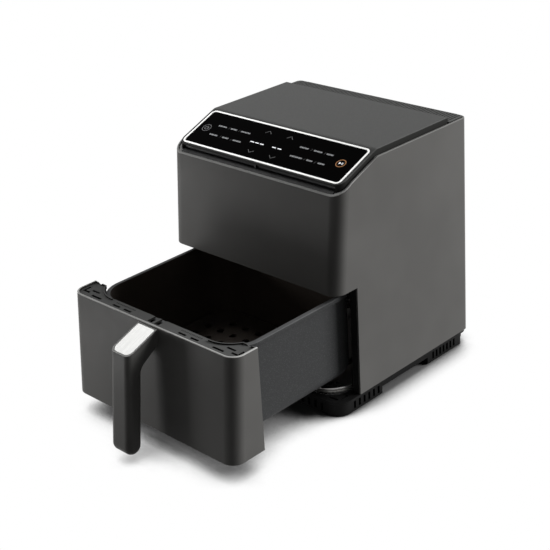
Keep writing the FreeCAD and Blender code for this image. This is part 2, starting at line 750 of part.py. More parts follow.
def touch_panel():
    return panel_plate(TRIM_WIDTH + GLASS_FIT, -GLASS_THICK, 0.0)


def light_guide():
    return panel_plate(WINDOW_MARGIN + FIT_GAP, BOARD_TOP, -GLASS_THICK, WINDOW_SIDE + FIT_GAP)


def control_board():
    """The touch and display circuit board under the light guide."""
    board = panel_plate(WINDOW_MARGIN + FIT_GAP, BOARD_TOP - CIRCUIT_THICK, BOARD_TOP,
                        WINDOW_SIDE - BOARD_SIDE)
    return board.cut(Part.makeCompound(board_screw_holes()))


def board_screws():
    heads = []
    for x, y in board_screw_places():
        start = BOARD_TOP - CIRCUIT_THICK - SCREW_HEAD
        heads.append(panel_frame(screw(x, y, start, UP, BOARD_SCREW_LENGTH, SMALL_SCREW_R, SMALL_HEAD_R)))
    return Part.makeCompound(heads)


def buzzer():
    top = BOARD_TOP - CIRCUIT_THICK
    return panel_frame(rod(BUZZER_X, 0, top - BUZZER_HEIGHT, BUZZER_R, BUZZER_HEIGHT))


def rear_grille():
    """The finned air outlet between the lid and the back edge, standing on the ledge."""
    y0 = COVER_REAR_Y + FIT_GAP
    y1 = rear_y(SHELL_TOP + GRILLE_THICK) - SHELL_WALL - FIT_GAP
    half = HALF - SHELL_WALL - FIT_GAP
    low = SHELL_TOP - LEDGE_DROP
    radius = REAR_CORNER_R - SHELL_WALL
    margin = GRILLE_MARGIN
    strip = rounded_plate(half, y0, y1, low, low + GRILLE_THICK, EDGE_R, radius)
    field = rounded_plate(half - margin, y0 + margin, y1 - margin, low - OVER, low + OVER,
                          EDGE_R, radius - margin)
    count = int((half - margin) // GRILLE_PITCH)
    slots = []
    for i in range(-count, count + 1):
        x = i * GRILLE_PITCH
        slots.append(box(x - GRILLE_SLOT / 2, x + GRILLE_SLOT / 2, y0, y1, low - OVER, low + OVER))
    return strip.cut(Part.makeCompound(slots).common(field))


def foot_ranges():
    front = BASE_FRONT_Y + BASE_FRONT_INSET
    return ((front, front + FOOT_LENGTH), (FOOT_REAR_Y - REAR_FOOT_LENGTH, FOOT_REAR_Y))


def base_plan(inset, z0, z1):
    front = BASE_FRONT_Y + BASE_FRONT_INSET + inset
    rear = BASE_REAR_Y - BASE_BODY_INSET - inset
    return rounded_plate(BASE_BODY_HALF - inset, front, rear, z0, z1,
                         BASE_BODY_CORNER_R - inset, BASE_REAR_R - inset)


def foot_blocks(inset, z0, z1):
    blocks = []
    (_, front_end), (rear_start, rear_end) = foot_ranges()
    for y0, y1, width in ((-FAR, front_end - inset, FRONT_FOOT_WIDTH),
                          (rear_start + inset, rear_end - inset, REAR_FOOT_WIDTH)):
        inner = BASE_BODY_HALF - width + inset
        for side in (-1, 1):
            xs = sorted((side * inner, side * FAR))
            blocks.append(box(xs[0], xs[1], y0, y1, z0, z1))
    return blocks


def foot_slots():
    """Upright vent windows along the sides and across the fronts of the feet."""
    slots = []
    depth = FOOT_SLOT_DEPTH
    half = FOOT_SLOT_WIDTH / 2
    low = FOOT_SLOT_LOW
    top = FOOT_SLOT_TOP
    (front, _), (rear, _) = foot_ranges()
    runs = ((front + FRONT_FOOT_SLOT_START, FRONT_FOOT_SLOTS, FRONT_FOOT_PITCH),
            (rear + REAR_FOOT_SLOT_START, REAR_FOOT_SLOTS, REAR_FOOT_PITCH))
    for start, count, pitch in runs:
        for i in range(count):
            y = start + i * pitch
            slots.append(box(BASE_BODY_HALF - depth, FAR, y - half, y + half, low, top))
            slots.append(box(-FAR, depth - BASE_BODY_HALF, y - half, y + half, low, top))
    first = BASE_BODY_HALF - FOOT_FACE_SIDE
    for i in range(FOOT_FACE_SLOTS):
        x = first - i * FOOT_FACE_PITCH
        for side in (-1, 1):
            slots.append(box(side * x - half, side * x + half, front - OVER, front + depth, low, top))
    return slots


def pad_places():
    (front, _), (_, rear) = foot_ranges()
    return [(side * (BASE_BODY_HALF - PAD_SIDE), y) for side in (-1, 1)
            for y in (front + PAD_MARGIN, rear - PAD_MARGIN)]


def base_screw_places():
    (_, front_end), (rear_start, _) = foot_ranges()
    x = BASE_BODY_HALF - BASE_SCREW_SIDE
    return [(side * x, y) for side in (-1, 1)
            for y in (front_end + BASE_SCREW_MARGIN, rear_start - BASE_SCREW_MARGIN)]


def base():
    """The black tray under the body: flange, walls, floor, four slotted feet and side upstands."""
    top = SHELL_LOW
    flange = rounded_plate(BASE_FLANGE_HALF, BASE_FRONT_Y, BASE_REAR_Y, top - BASE_FLANGE_THICK, top,
                           BASE_CORNER_R, BASE_REAR_R)
    flange = flange.makeFillet(EDGE_R, edges_at(flange, top - BASE_FLANGE_THICK))
    body = base_plan(0, BASE_FLOOR_Z, top - BASE_FLANGE_THICK)
    feet = base_plan(0, FOOT_BOTTOM_Z, BASE_FLOOR_Z).common(
        Part.makeCompound(foot_blocks(0, 0, BASE_FLOOR_Z)))
    tray = joined([flange, body, feet])
    wall = BASE_WALL
    tray = tray.cut(base_plan(wall, BASE_FLOOR_Z + wall, FAR))
    wells = base_plan(wall, FOOT_BOTTOM_Z + wall, FAR).common(
        Part.makeCompound(foot_blocks(wall, 0, BASE_FLOOR_Z + wall + SIDE_OVER)))
    tray = tray.cut(wells).cut(Part.makeCompound(foot_slots()))
    outer = HALF - SHELL_WALL - FIT_GAP
    upstands = []
    for side in (-1, 1):
        xs = sorted((side * (outer - wall), side * outer))
        upstands.append(box(xs[0], xs[1], SPLIT_Y + UPSTAND_START, REAR_Y - UPSTAND_REAR_GAP,
                            top - BASE_FLANGE_THICK, top + BASE_UPSTAND - FIT_GAP))
    tray = joined([tray] + upstands)
    holes = [rod(x, y, 0, PAD_R + SCREW_GAP, PAD_THICK) for x, y in pad_places()]
    holes += [screw_hole(x, y, BASE_FLOOR_Z, UP, BASE_SCREW_LENGTH) for x, y in base_screw_places()]
    return tray.cut(Part.makeCompound(holes))


def foot_pads():
    return Part.makeCompound([rod(x, y, 0, PAD_R, PAD_THICK) for x, y in pad_places()])


def base_deck():
    """The black deck over the tray, open over the heater dish, on four screw posts."""
    plate = base_plan(BASE_WALL + FIT_GAP, DECK_TOP - DECK_THICK, DECK_TOP)
    opening = dish_plan(FIT_GAP, 0, FAR)
    posts = []
    low = BASE_FLOOR_Z + BASE_WALL
    for x, y in base_screw_places():
        posts.append(rod(x, y, low, DECK_BOSS_R, DECK_TOP - low))
    deep = BASE_SCREW_LENGTH + SCREW_TIP_ROOM
    holes = [screw_hole(x, y, BASE_FLOOR_Z, UP, deep) for x, y in base_screw_places()]
    plate = joined([plate.cut(opening)] + posts)
    return plate.cut(Part.makeCompound(holes + deck_slots()))


def deck_slots():
    """Two angled vent slots at each front corner of the deck."""
    slots = []
    for side in (-1, 1):
        for inset, back, angle in (FRONT_DECK_SLOT, SIDE_DECK_SLOT):
            x = BASE_BODY_HALF - inset
            y = BASE_FRONT_Y + back
            slots.append(slot_box(side * x, y, DECK_SLOT_LENGTH, DECK_SLOT_WIDTH, side * angle))
    return slots


def base_screws():
    start = BASE_FLOOR_Z - SCREW_HEAD
    return Part.makeCompound([screw(x, y, start, UP, BASE_SCREW_LENGTH) for x, y in base_screw_places()])


def dish_plan(grow, z0, z1):
    radius = DISH_CORNER_R + grow
    return rounded_plate(DISH_HALF + grow, DISH_FRONT_Y - grow, DISH_REAR_Y + grow, z0, z1, radius, radius)


def lower_leads(gap):
    """Rods along the lower heater's two cold ends, wider than the tube by a gap."""
    return [rod(side * LOWER_LEAD_X, LOWER_LOOP_REAR_Y, LOWER_TUBE_Z, LOWER_TUBE_R + gap, FAR, BACK)
            for side in (-1, 1)]


def lower_reflector():
    """The bright pressed dish that throws the lower heater's heat upwards, with a beaded rim."""
    flange = rounded_plate(DISH_HALF + DISH_FLANGE, DISH_FRONT_Y - DISH_FLANGE_FRONT,
                           DISH_REAR_Y + DISH_FLANGE, DECK_TOP, DECK_TOP + SHEET,
                           DISH_FLANGE_R, DISH_FLANGE_R)
    low = DECK_TOP - DISH_DEPTH
    top = DECK_TOP + DISH_RIM
    pan = dish_plan(0, low, top)
    bead = dish_plan(DISH_BEAD, top - 2 * DISH_BEAD, top)
    bead = bead.makeFillet(EDGE_R, edges_at(bead, top))
    hollow = dish_plan(-SHEET, low + SHEET, FAR)
    dish = joined([flange, pan, bead]).cut(hollow)
    return dish.cut(Part.makeCompound(lower_leads(HEATER_HOLE_GAP)))


def swept_tube(path, radius, start, direction):
    circle = Part.Wire([Part.makeCircle(radius, start, direction)])
    return Part.Wire(path).makePipeShell([circle], True, False)


def arc(centre, radius, z, start_deg, end_deg):
    """An arc through three points about a centre, in the order given."""
    points = []
    for angle in (start_deg, (start_deg + end_deg) / 2, end_deg):
        turn = math.radians(angle)
        points.append(V(centre[0] + radius * math.cos(turn), centre[1] + radius * math.sin(turn), z))
    return Part.Arc(*points).toShape()


def lower_heater():
    """A bent tube heater round the dish, its two cold ends out through the chamber's back."""
    half = LOWER_LOOP_HALF
    y0 = LOWER_LOOP_FRONT_Y
    y1 = LOWER_LOOP_REAR_Y
    r = LOWER_LOOP_R
    z = LOWER_TUBE_Z
    lead = LOWER_LEAD_X
    bend = lead / 2

    def line(a, b):
        return Part.makeLine(V(a[0], a[1], z), V(b[0], b[1], z))

    path = [line((-lead, LOWER_LEAD_END_Y), (-lead, y1 + bend)),
            arc((-lead - bend, y1 + bend), bend, z, 0, -90),
            line((-lead - bend, y1), (-half + r, y1)),
            arc((-half + r, y1 - r), r, z, 90, 180),
            line((-half, y1 - r), (-half, y0 + r)),
            arc((-half + r, y0 + r), r, z, 180, 270),
            line((-half + r, y0), (half - r, y0)),
            arc((half - r, y0 + r), r, z, 270, 360),
            line((half, y0 + r), (half, y1 - r)),
            arc((half - r, y1 - r), r, z, 0, 90),
            line((half - r, y1), (lead + bend, y1)),
            arc((lead + bend, y1 + bend), bend, z, 270, 180),
            line((lead, y1 + bend), (lead, LOWER_LEAD_END_Y))]
    return swept_tube(path, LOWER_TUBE_R, V(-lead, LOWER_LEAD_END_Y, z), FORWARD)


def heater_clips():
    """Stands between the dish and the lower heater."""
    low = DECK_TOP - DISH_DEPTH + SHEET
    half = CLIP_WIDTH / 2
    middle = (LOWER_LOOP_FRONT_Y + LOWER_LOOP_REAR_Y) / 2
    places = ((0, LOWER_LOOP_FRONT_Y), (-LOWER_LOOP_HALF, middle), (LOWER_LOOP_HALF, middle))
    stands = [box(x - half, x + half, y - half, y + half, low, LOWER_TUBE_Z) for x, y in places]
    groove = LOWER_TUBE_R + SCREW_GAP
    along_x = rod(-CLIP_WIDTH, LOWER_LOOP_FRONT_Y, LOWER_TUBE_Z, groove, 2 * CLIP_WIDTH, V(1, 0, 0))
    sides = [rod(x, middle - CLIP_WIDTH, LOWER_TUBE_Z, groove, 2 * CLIP_WIDTH, BACK)
             for x in (-LOWER_LOOP_HALF, LOWER_LOOP_HALF)]
    return Part.makeCompound(stands).cut(Part.makeCompound([along_x] + sides))


def chamber_liner():
    """The sheet metal cooking chamber: sides, back, roof, a header over its mouth and side lips."""
    outer = box(-LINER_HALF - SHEET, LINER_HALF + SHEET, LINER_FRONT_Y, LINER_REAR_Y + SHEET,
                DECK_TOP, LINER_ROOF_Z + SHEET)
    inner = box(-LINER_HALF, LINER_HALF, LINER_FRONT_Y + SHEET, LINER_REAR_Y, 0, LINER_ROOF_Z)
    mouth = box(-LINER_HALF, LINER_HALF, 0, LINER_FRONT_Y + OVER, 0, SPLIT_Z - MOUTH_DROP)
    cuts = [mouth, rod(0, FAN_Y, LINER_ROOF_Z - OVER, DOME_R - SHEET, FAR),
            rod(PROBE_X, PROBE_Y, LINER_ROOF_Z - OVER, PROBE_R + SCREW_GAP, FAR)]
    cuts += lower_leads(HEATER_HOLE_GAP)
    cuts.append(box(-EXHAUST_HALF, EXHAUST_HALF, LINER_REAR_Y - OVER, FAR, EXHAUST_LOW_Z, EXHAUST_HIGH_Z))
    return joined([outer.cut(inner).cut(Part.makeCompound(cuts))] + mouth_lips())


def mouth_lips():
    """The liner's sides run on past the header and turn out to meet the mouth frame."""
    lips = []
    start = SPLIT_Y + LIP_BACK
    top = SPLIT_Z - LINTEL_DROP - FIT_GAP
    for side in (-1, 1):
        for x1, y1 in ((LINER_HALF + SHEET, LINER_FRONT_Y + SHEET),
                       (LINER_HALF + LIP_WIDTH - FIT_GAP, start + SHEET)):
            xs = sorted((side * LINER_HALF, side * x1))
            lips.append(box(xs[0], xs[1], start, y1, DECK_TOP, top))
    return lips


def front_frame():
    """The black mouth frame: jambs, lintel and the shelf closing the shell's front."""
    half = HALF - SHELL_WALL - FIT_GAP
    inner = LINER_HALF + LIP_WIDTH
    top = SPLIT_Z + LINTEL_RISE
    jambs = []
    for side in (-1, 1):
        xs = sorted((side * inner, side * half))
        jambs.append(box(xs[0], xs[1], SPLIT_Y, LINER_FRONT_Y, SHELL_LOW, top))
    lintel = box(-half, half, SPLIT_Y, LINER_FRONT_Y, SPLIT_Z - LINTEL_DROP, top)
    inset = SHELL_WALL + FIT_GAP
    shelf = housing(inset, inset, 0, 0, 0, SHELL_LOW).common(
        box(-FAR, FAR, -FAR, LINER_FRONT_Y, SPLIT_Z + FIT_GAP, SPLIT_Z + FIT_GAP + SHELF_THICK))
    return joined(jambs + [lintel, shelf])


RAIL_TOP_Z = BASKET_RIM_Z - RIM_HEIGHT - RAIL_GAP


def rail(side):
    """A runner under the basket's rim, fixed to the chamber's side wall."""
    xs = sorted((side * (BASKET_HALF + RAIL_SIDE_GAP), side * LINER_HALF))
    return box(xs[0], xs[1], LINER_FRONT_Y + SHEET, LINER_REAR_Y - RAIL_END_GAP,
               RAIL_TOP_Z - RAIL_HEIGHT, RAIL_TOP_Z)


def upper_start():
    """The outer turn's first point and its outward direction."""
    turn = math.radians(90.0 - UPPER_GAP_DEG)
    out = V(math.cos(turn), math.sin(turn), 0)
    return V(0, FAN_Y, UPPER_TUBE_Z) + out * UPPER_OUTER_R, out


def upper_exit():
    """The inner turn's last point, its outward direction and its running direction."""
    turn = math.radians(90.0)
    out = V(math.cos(turn), math.sin(turn), 0)
    along = V(-out.y, out.x, 0)
    return V(0, FAN_Y, UPPER_TUBE_Z) + out * UPPER_INNER_R, out, along


def upper_lead_places():
    last, out, along = upper_exit()
    end = last + along * UPPER_BEND_R + out * (UPPER_OUTER_R - UPPER_INNER_R)
    return [upper_start()[0], end]


def upper_dome():
    """The pressed dome over the upper heater and hot fan, on the chamber's roof."""
    flange = rod(0, FAN_Y, ROOF_TOP, DOME_R + DOME_FLANGE, SHEET)
    body = rod(0, FAN_Y, ROOF_TOP, DOME_R, DOME_HEIGHT)
    hollow = rod(0, FAN_Y, ROOF_TOP - OVER, DOME_R - SHEET, DOME_HEIGHT + OVER - SHEET)
    holes = [rod(0, FAN_Y, ROOF_TOP, SHAFT_HOLE_R, FAR)]
    for p in upper_lead_places():
        holes.append(rod(p.x, p.y, ROOF_TOP, UPPER_TUBE_R + HEATER_HOLE_GAP, FAR))
    return joined([flange, body]).cut(hollow).cut(Part.makeCompound(holes))


def upper_heater():
    """A tube heater of two turns under the hot fan, its cold ends up through the dome."""
    z = UPPER_TUBE_Z
    centre = (0, FAN_Y)
    start = 90.0 - UPPER_GAP_DEG
    end = 90.0 - 360.0 + UPPER_FOLD_DEG
    half_way = (start + end) / 2
    turn = math.radians(end)
    middle = (UPPER_OUTER_R + UPPER_INNER_R) / 2
    fold = (UPPER_OUTER_R - UPPER_INNER_R) / 2
    fold_centre = (middle * math.cos(turn), FAN_Y + middle * math.sin(turn))
    last, out, along = upper_exit()
    bend_centre = last + out * UPPER_BEND_R
    bend_middle = bend_centre + (along - out).normalize() * UPPER_BEND_R
    bend_end = bend_centre + along * UPPER_BEND_R
    path = [arc(centre, UPPER_OUTER_R, z, start, half_way),
            arc(centre, UPPER_OUTER_R, z, half_way, end),
            arc(fold_centre, fold, z, end, end - HALF_TURN_DEG),
            arc(centre, UPPER_INNER_R, z, end, half_way),
            arc(centre, UPPER_INNER_R, z, half_way, 90.0),
            Part.Arc(last, bend_middle, bend_end).toShape(),
            Part.makeLine(bend_end, upper_lead_places()[1])]
    first, first_out = upper_start()
    tube = swept_tube(path, UPPER_TUBE_R, first, V(first_out.y, -first_out.x, 0))
    leads = [rod(p.x, p.y, z, UPPER_TUBE_R, DOME_TOP + UPPER_LEAD_RISE - z) for p in upper_lead_places()]
    elbows = [Part.makeSphere(UPPER_TUBE_R, p) for p in upper_lead_places()]
    return joined([tube] + leads + elbows)


def heater_guard():
    """A guard of flat rings and spokes under the upper heater, fixed to the roof's edge."""
    low = LINER_ROOF_Z - GUARD_THICK
    bars = []
    rim = DOME_R + GUARD_RIM_LAP
    for i in range(GUARD_RINGS):
        radius = GUARD_INNER_R + (rim - GUARD_INNER_R) * i / (GUARD_RINGS - 1)
        width = GUARD_RIM_WIDTH if i == GUARD_RINGS - 1 else GUARD_RING_WIDTH
        ring = rod(0, FAN_Y, low, radius + width / 2, GUARD_THICK)
        bars.append(ring.cut(rod(0, FAN_Y, low - OVER, radius - width / 2, 2 * OVER)))
    half = GUARD_SPOKE_WIDTH / 2
    for i in range(GUARD_SPOKES):
        spoke = box(GUARD_INNER_R, rim, -half, half, low, low + GUARD_THICK)
        spoke.Placement = FreeCAD.Placement(V(0, FAN_Y, 0), FreeCAD.Rotation(UP, i * 360.0 / GUARD_SPOKES))
        bars.append(spoke)
    return joined(bars)


def impeller(radius, plate_z, blade_low, blade_high, blades, hub_low, hub_high):
    """A fan plate with straight raked blades and a bored hub."""
    plate = rod(0, FAN_Y, plate_z, radius, FAN_PLATE_THICK)
    hub = rod(0, FAN_Y, hub_low, FAN_HUB_R, hub_high - hub_low)
    solids = [plate, hub]
    half = BLADE_THICK / 2
    for i in range(blades):
        blade = box(BLADE_START_R, radius - BLADE_TIP_GAP, -half, half, blade_low, blade_high)
        blade.rotate(V(BLADE_START_R, 0, 0), UP, BLADE_RAKE_DEG)
        turn = FreeCAD.Rotation(UP, i * 360.0 / blades)
        blade.Placement = FreeCAD.Placement(V(0, FAN_Y, 0), turn).multiply(blade.Placement)
        solids.append(blade)
    trimmed = joined(solids).common(rod(0, FAN_Y, 0, radius, FAR))
    return trimmed.cut(rod(0, FAN_Y, 0, SHAFT_R + PRESS_GAP, FAR))


def hot_air_fan():
    top = FAN_PLATE_Z + FAN_PLATE_THICK
    return impeller(FAN_R, FAN_PLATE_Z, FAN_PLATE_Z - FAN_BLADE_DEPTH, FAN_PLATE_Z, FAN_BLADES,
                    SHAFT_LOW_Z + NUT_HEIGHT, top + HUB_PROUD)


def cooling_fan():
    top = COOLER_PLATE_Z + FAN_PLATE_THICK
    return impeller(COOLER_R, COOLER_PLATE_Z, top, top + FAN_BLADE_DEPTH, COOLER_BLADES,
                    COOLER_PLATE_Z - HUB_PROUD, top + FAN_BLADE_DEPTH)


def motor_shaft():
    top = MOTOR_SEAT + MOTOR_HEIGHT + SHAFT_PROUD
    return rod(0, FAN_Y, SHAFT_LOW_Z, SHAFT_R, top - SHAFT_LOW_Z)


def fan_nut():
    corners = [V(NUT_R * math.cos(math.radians(60 * i)), FAN_Y + NUT_R * math.sin(math.radians(60 * i)),
                 SHAFT_LOW_Z) for i in range(7)]
    block = Part.Face(Part.makePolygon(corners)).extrude(V(0, 0, NUT_HEIGHT))
    return block.cut(rod(0, FAN_Y, 0, SHAFT_R + PRESS_GAP, FAR))


def motor_screw_places():
    x = MOTOR_SCREW_X
    return [(sx * x, FAN_Y + sy * x) for sx in (-1, 1) for sy in (-1, 1)]


def motor_bracket():
    """A bridge plate on four legs that carries the motor over the dome."""
    plate = box(-BRACKET_HALF_X, BRACKET_HALF_X, FAN_Y - BRACKET_HALF_Y, FAN_Y + BRACKET_HALF_Y,
                BRACKET_Z, MOTOR_SEAT)
    solids = [plate]
    for sx in (-1, 1):
        for sy in (-1, 1):
            xs = sorted((sx * BRACKET_HALF_X, sx * (BRACKET_HALF_X - BRACKET_LEG)))
            ys = sorted((sy * BRACKET_HALF_Y, sy * (BRACKET_HALF_Y - BRACKET_LEG)))
            solids.append(box(xs[0], xs[1], FAN_Y + ys[0], FAN_Y + ys[1], ROOF_TOP, BRACKET_Z))
    holes = [rod(0, FAN_Y, BRACKET_Z - OVER, BRACKET_HOLE_R, 2 * OVER)]
    holes += [screw_hole(x, y, BRACKET_Z, UP, MOTOR_SCREW_LENGTH) for x, y in motor_screw_places()]
    return joined(solids).cut(Part.makeCompound(holes))


def motor():
    """The shaded pole motor's can on its square flange, with the shaft's bearing bore."""
    half = MOTOR_FLANGE_HALF
    flange = box(-half, half, FAN_Y - half, FAN_Y + half, MOTOR_SEAT, MOTOR_SEAT + MOTOR_FLANGE_THICK)
    can = rod(0, FAN_Y, MOTOR_SEAT, MOTOR_R, MOTOR_HEIGHT)
    holes = [rod(0, FAN_Y, 0, SHAFT_R + RUNNING_GAP, FAR)]
    holes += [screw_hole(x, y, MOTOR_SEAT, UP, MOTOR_SCREW_LENGTH) for x, y in motor_screw_places()]
    return joined([flange, can]).cut(Part.makeCompound(holes))


def motor_screws():
    top = MOTOR_SEAT + MOTOR_FLANGE_THICK + SCREW_HEAD
    return Part.makeCompound([screw(x, y, top, -UP, MOTOR_SCREW_LENGTH) for x, y in motor_screw_places()])


def temperature_probe():
    stem = rod(PROBE_X, PROBE_Y, PROBE_TIP_Z, PROBE_R, ROOF_TOP + PROBE_TOP_RISE - PROBE_TIP_Z)
    collar = rod(PROBE_X, PROBE_Y, ROOF_TOP, PROBE_COLLAR_R, PROBE_COLLAR_HEIGHT)
    return joined([stem, collar])


def thermal_fuse():
    """The overheat cut-out clipped on the dome."""
    x, y, z = FUSE_SIZE
    x0 = FUSE_RADIUS * math.cos(math.radians(FUSE_DEG))
    y0 = FAN_Y - FUSE_RADIUS * math.sin(math.radians(FUSE_DEG))
    return box(x0 - x / 2, x0 + x / 2, y0 - y / 2, y0 + y / 2, DOME_TOP, DOME_TOP + z)


def exhaust_duct():
    """A short duct from the chamber's back to the slots in the back plate."""
    wall = DUCT_WALL
    y0 = LINER_REAR_Y + SHEET
    y1 = rear_y(EXHAUST_HIGH_Z + wall) - SHELL_WALL - FIT_GAP
    half = EXHAUST_HALF + wall
    outer = box(-half, half, y0, y1, EXHAUST_LOW_Z - wall, EXHAUST_HIGH_Z + wall)
    return outer.cut(box(-EXHAUST_HALF, EXHAUST_HALF, y0 - OVER, FAR, EXHAUST_LOW_Z, EXHAUST_HIGH_Z))


def power_board():
    """The relay and supply board, on four posts at the shell's right wall."""
    wall = HALF - SHELL_WALL
    face = wall - STANDOFF
    y0 = POWER_BOARD_Y
    z0 = POWER_BOARD_Z
    y1 = y0 + POWER_BOARD_LENGTH
    z1 = z0 + POWER_BOARD_HEIGHT
    solids = [box(face - CIRCUIT_THICK, face, y0, y1, z0, z1)]
    for y in (y0 + STANDOFF_INSET, y1 - STANDOFF_INSET):
        for z in (z0 + STANDOFF_INSET, z1 - STANDOFF_INSET):
            solids.append(rod(face, y, z, STANDOFF_R, STANDOFF, V(1, 0, 0)))
    front = face - CIRCUIT_THICK
    for start, low, length, height, depth in (RELAY_BLOCK, TRANSFORMER_BLOCK, CAPACITOR_BLOCK, PLUG_BLOCK):
        solids.append(box(front - depth, front, y0 + start, y0 + start + length, z0 + low, z0 + low + height))
    return joined(solids)


def terminal_block():
    x, y, z = TERMINAL_SIZE
    back = LINER_REAR_Y + SHEET
    block = box(TERMINAL_X, TERMINAL_X + x, back, back + y, TERMINAL_Z, TERMINAL_Z + z)
    step = x / TERMINAL_WAYS
    wells = [rod(TERMINAL_X + step * (i + 0.5), back + y - TERMINAL_WELL_DEPTH, TERMINAL_Z + z / 2,
                 TERMINAL_WELL_R, OVER, BACK) for i in range(TERMINAL_WAYS)]
    return block.cut(Part.makeCompound(wells))


def reed_switch():
    x, y, z = REED_SIZE
    low = SPLIT_Z + FIT_GAP + SHELF_THICK
    return box(REED_X - x / 2, REED_X + x / 2, MAGNET_Y - y / 2, MAGNET_Y + y / 2, low, low + z)


def magnet():
    top = CAP_TOP_Z - CAP_THICK
    return rod(REED_X, MAGNET_Y, top - MAGNET_HEIGHT, MAGNET_R, MAGNET_HEIGHT)


DRAWER_BACK_Y = SPLIT_Y - DRAWER_SIDE_GAP


def drawer_front():
    """The grey drawer face with its side returns, one wall thick."""
    wall = SHELL_WALL
    skin = housing(0, 0, 0, 0, 0, SHELL_LOW)
    skin = skin.common(box(-FAR, FAR, -FAR, DRAWER_BACK_Y, DRAWER_LOW_Z, DRAWER_TOP_Z))
    rims = edges_at(skin, DRAWER_TOP_Z) + edges_at(skin, DRAWER_LOW_Z)
    skin = skin.makeFillet(EDGE_R, [e for e in rims if is_front(e, DRAWER_BACK_Y)])
    skin = skin.cut(housing(wall, wall, -OVER, OVER, OVER, -OVER))
    holes = [screw_hole(x, 0, HANDLE_SCREW_Z, BACK, OVER) for x in (-HANDLE_SCREW_X, HANDLE_SCREW_X)]
    return skin.cut(Part.makeCompound(holes))


def basket_plan(grow, z0, z1):
    radius = BASKET_CORNER_R + grow
    return rounded_plate(BASKET_HALF + grow, BASKET_FRONT_Y - grow, BASKET_REAR_Y + grow, z0, z1,
                         radius, radius)


def basket_room(clear):
    """The space the basket takes with a clearance, its front corners cut straight at 45 degrees."""
    half = BASKET_HALF + clear
    front = BASKET_FRONT_Y - clear
    cut = (BASKET_CORNER_R + clear) * (2.0 - math.sqrt(2.0))
    rear = BASKET_REAR_Y + OVER
    corners = [(half - cut, front), (half, front + cut), (half, rear),
               (-half, rear), (-half, front + cut), (cut - half, front)]
    wire = Part.makePolygon([V(x, y, -OVER) for x, y in corners + corners[:1]])
    return Part.Face(wire).extrude(V(0, 0, FAR))


def drawer_block(inset, back_inset, low, high, room):
    """The space behind the drawer's face and clear of the basket's room, with insets."""
    block = housing(inset, inset, -OVER, OVER, OVER, -OVER)
    block = block.common(box(-FAR, FAR, -FAR, DRAWER_BACK_Y - back_inset, low, high))
    return block.cut(room)


def drawer_inner():
    """The black inner tray of the drawer's face: back wall round the basket, floor and posts."""
    skin = SHELL_WALL + FIT_GAP
    wall = DRAWER_WALL
    low = DRAWER_LOW_Z + DRAWER_FLOOR_RISE
    high = CAP_TOP_Z - CAP_THICK
    clear = RIM_WIDTH + FIT_GAP
    tray = drawer_block(skin, FIT_GAP, low, high, basket_room(clear))
    tray = tray.cut(drawer_block(-SIDE_OVER, FIT_GAP + wall, low + wall, FAR, basket_room(clear + wall)))
    posts = []
    holes = []
    for x in (-BASKET_SCREW_X, BASKET_SCREW_X):
        face = BASKET_FRONT_Y - clear
        posts.append(rod(x, face - BOSS_LENGTH, BASKET_SCREW_Z, BOSS_R, clear + BOSS_LENGTH - FIT_GAP, BACK))
        holes.append(screw_hole(x, BASKET_FRONT_Y, BASKET_SCREW_Z, BACK, OVER))
    return joined([tray] + posts).cut(Part.makeCompound(holes))


def slot_box(x, y, length, width, angle=0.0):
    slot = box(-length / 2, length / 2, -width / 2, width / 2, 0, FAR)
    slot.Placement = FreeCAD.Placement(V(x, y, 0), FreeCAD.Rotation(UP, angle))
    return slot


def cap_lips():
    """Upright lips on the cap's ends, along the basket's corners and the back, each with a dip."""
    inset = SHELL_WALL + FIT_GAP
    clear = RIM_WIDTH + FIT_GAP
    low = CAP_TOP_Z - CAP_THICK
    top = CAP_TOP_Z + CAP_LIP_RISE
    lips = drawer_block(inset, FIT_GAP, low, top, basket_plan(clear, -OVER, FAR))
    hollow = basket_plan(clear + CAP_LIP, -OVER, FAR)
    lips = lips.cut(drawer_block(-SIDE_OVER, FIT_GAP + CAP_LIP, -OVER, FAR, hollow))
    lips = lips.cut(box(-STRIP_HALF, STRIP_HALF, -FAR, FAR, -OVER, FAR))
    dips = [rod(side * (HALF - DIP_SIDE), DRAWER_BACK_Y - OVER / 2, CAP_TOP_Z + DIP_R, DIP_R, OVER, BACK)
            for side in (-1, 1)]
    return lips.cut(Part.makeCompound(dips))


def cap_slots():
    """The slots through the cap: straight ones, elbows at the corners, combs and two catch notches."""
    cuts = []
    wide = CAP_SLOT_WIDTH
    elbow = HALF - ELBOW_SLOT_SIDE
    leg = (ELBOW_SLOT_LENGTH - wide) / 2
    for side in (-1, 1):
        for x in CAP_SLOT_XS:
            cuts.append(slot_box(side * x, CAP_SLOT_Y, CAP_SLOT_LENGTH, wide))
        cuts.append(slot_box(side * (HALF - CORNER_SLOT_SIDE), CORNER_SLOT_Y, CORNER_SLOT_LENGTH, wide))
        cuts.append(slot_box(side * (HALF - SIDE_SLOT_SIDE), SIDE_SLOT_Y, SIDE_SLOT_LENGTH, wide))
        cuts.append(slot_box(side * elbow, ELBOW_SLOT_Y, ELBOW_SLOT_LENGTH, wide))
        cuts.append(slot_box(side * (elbow + leg), ELBOW_SLOT_Y + leg, wide, ELBOW_SLOT_LENGTH))
        cuts.append(slot_box(side * NOTCH_X, NOTCH_Y + OVER / 2, NOTCH_WIDTH, OVER))
        for i in range(COMB_TEETH):
            x = side * (COMB_START_X + i * COMB_PITCH)
            cuts.append(slot_box(x, COMB_Y, COMB_SLOT_WIDTH, COMB_SLOT_LENGTH))
    return cuts


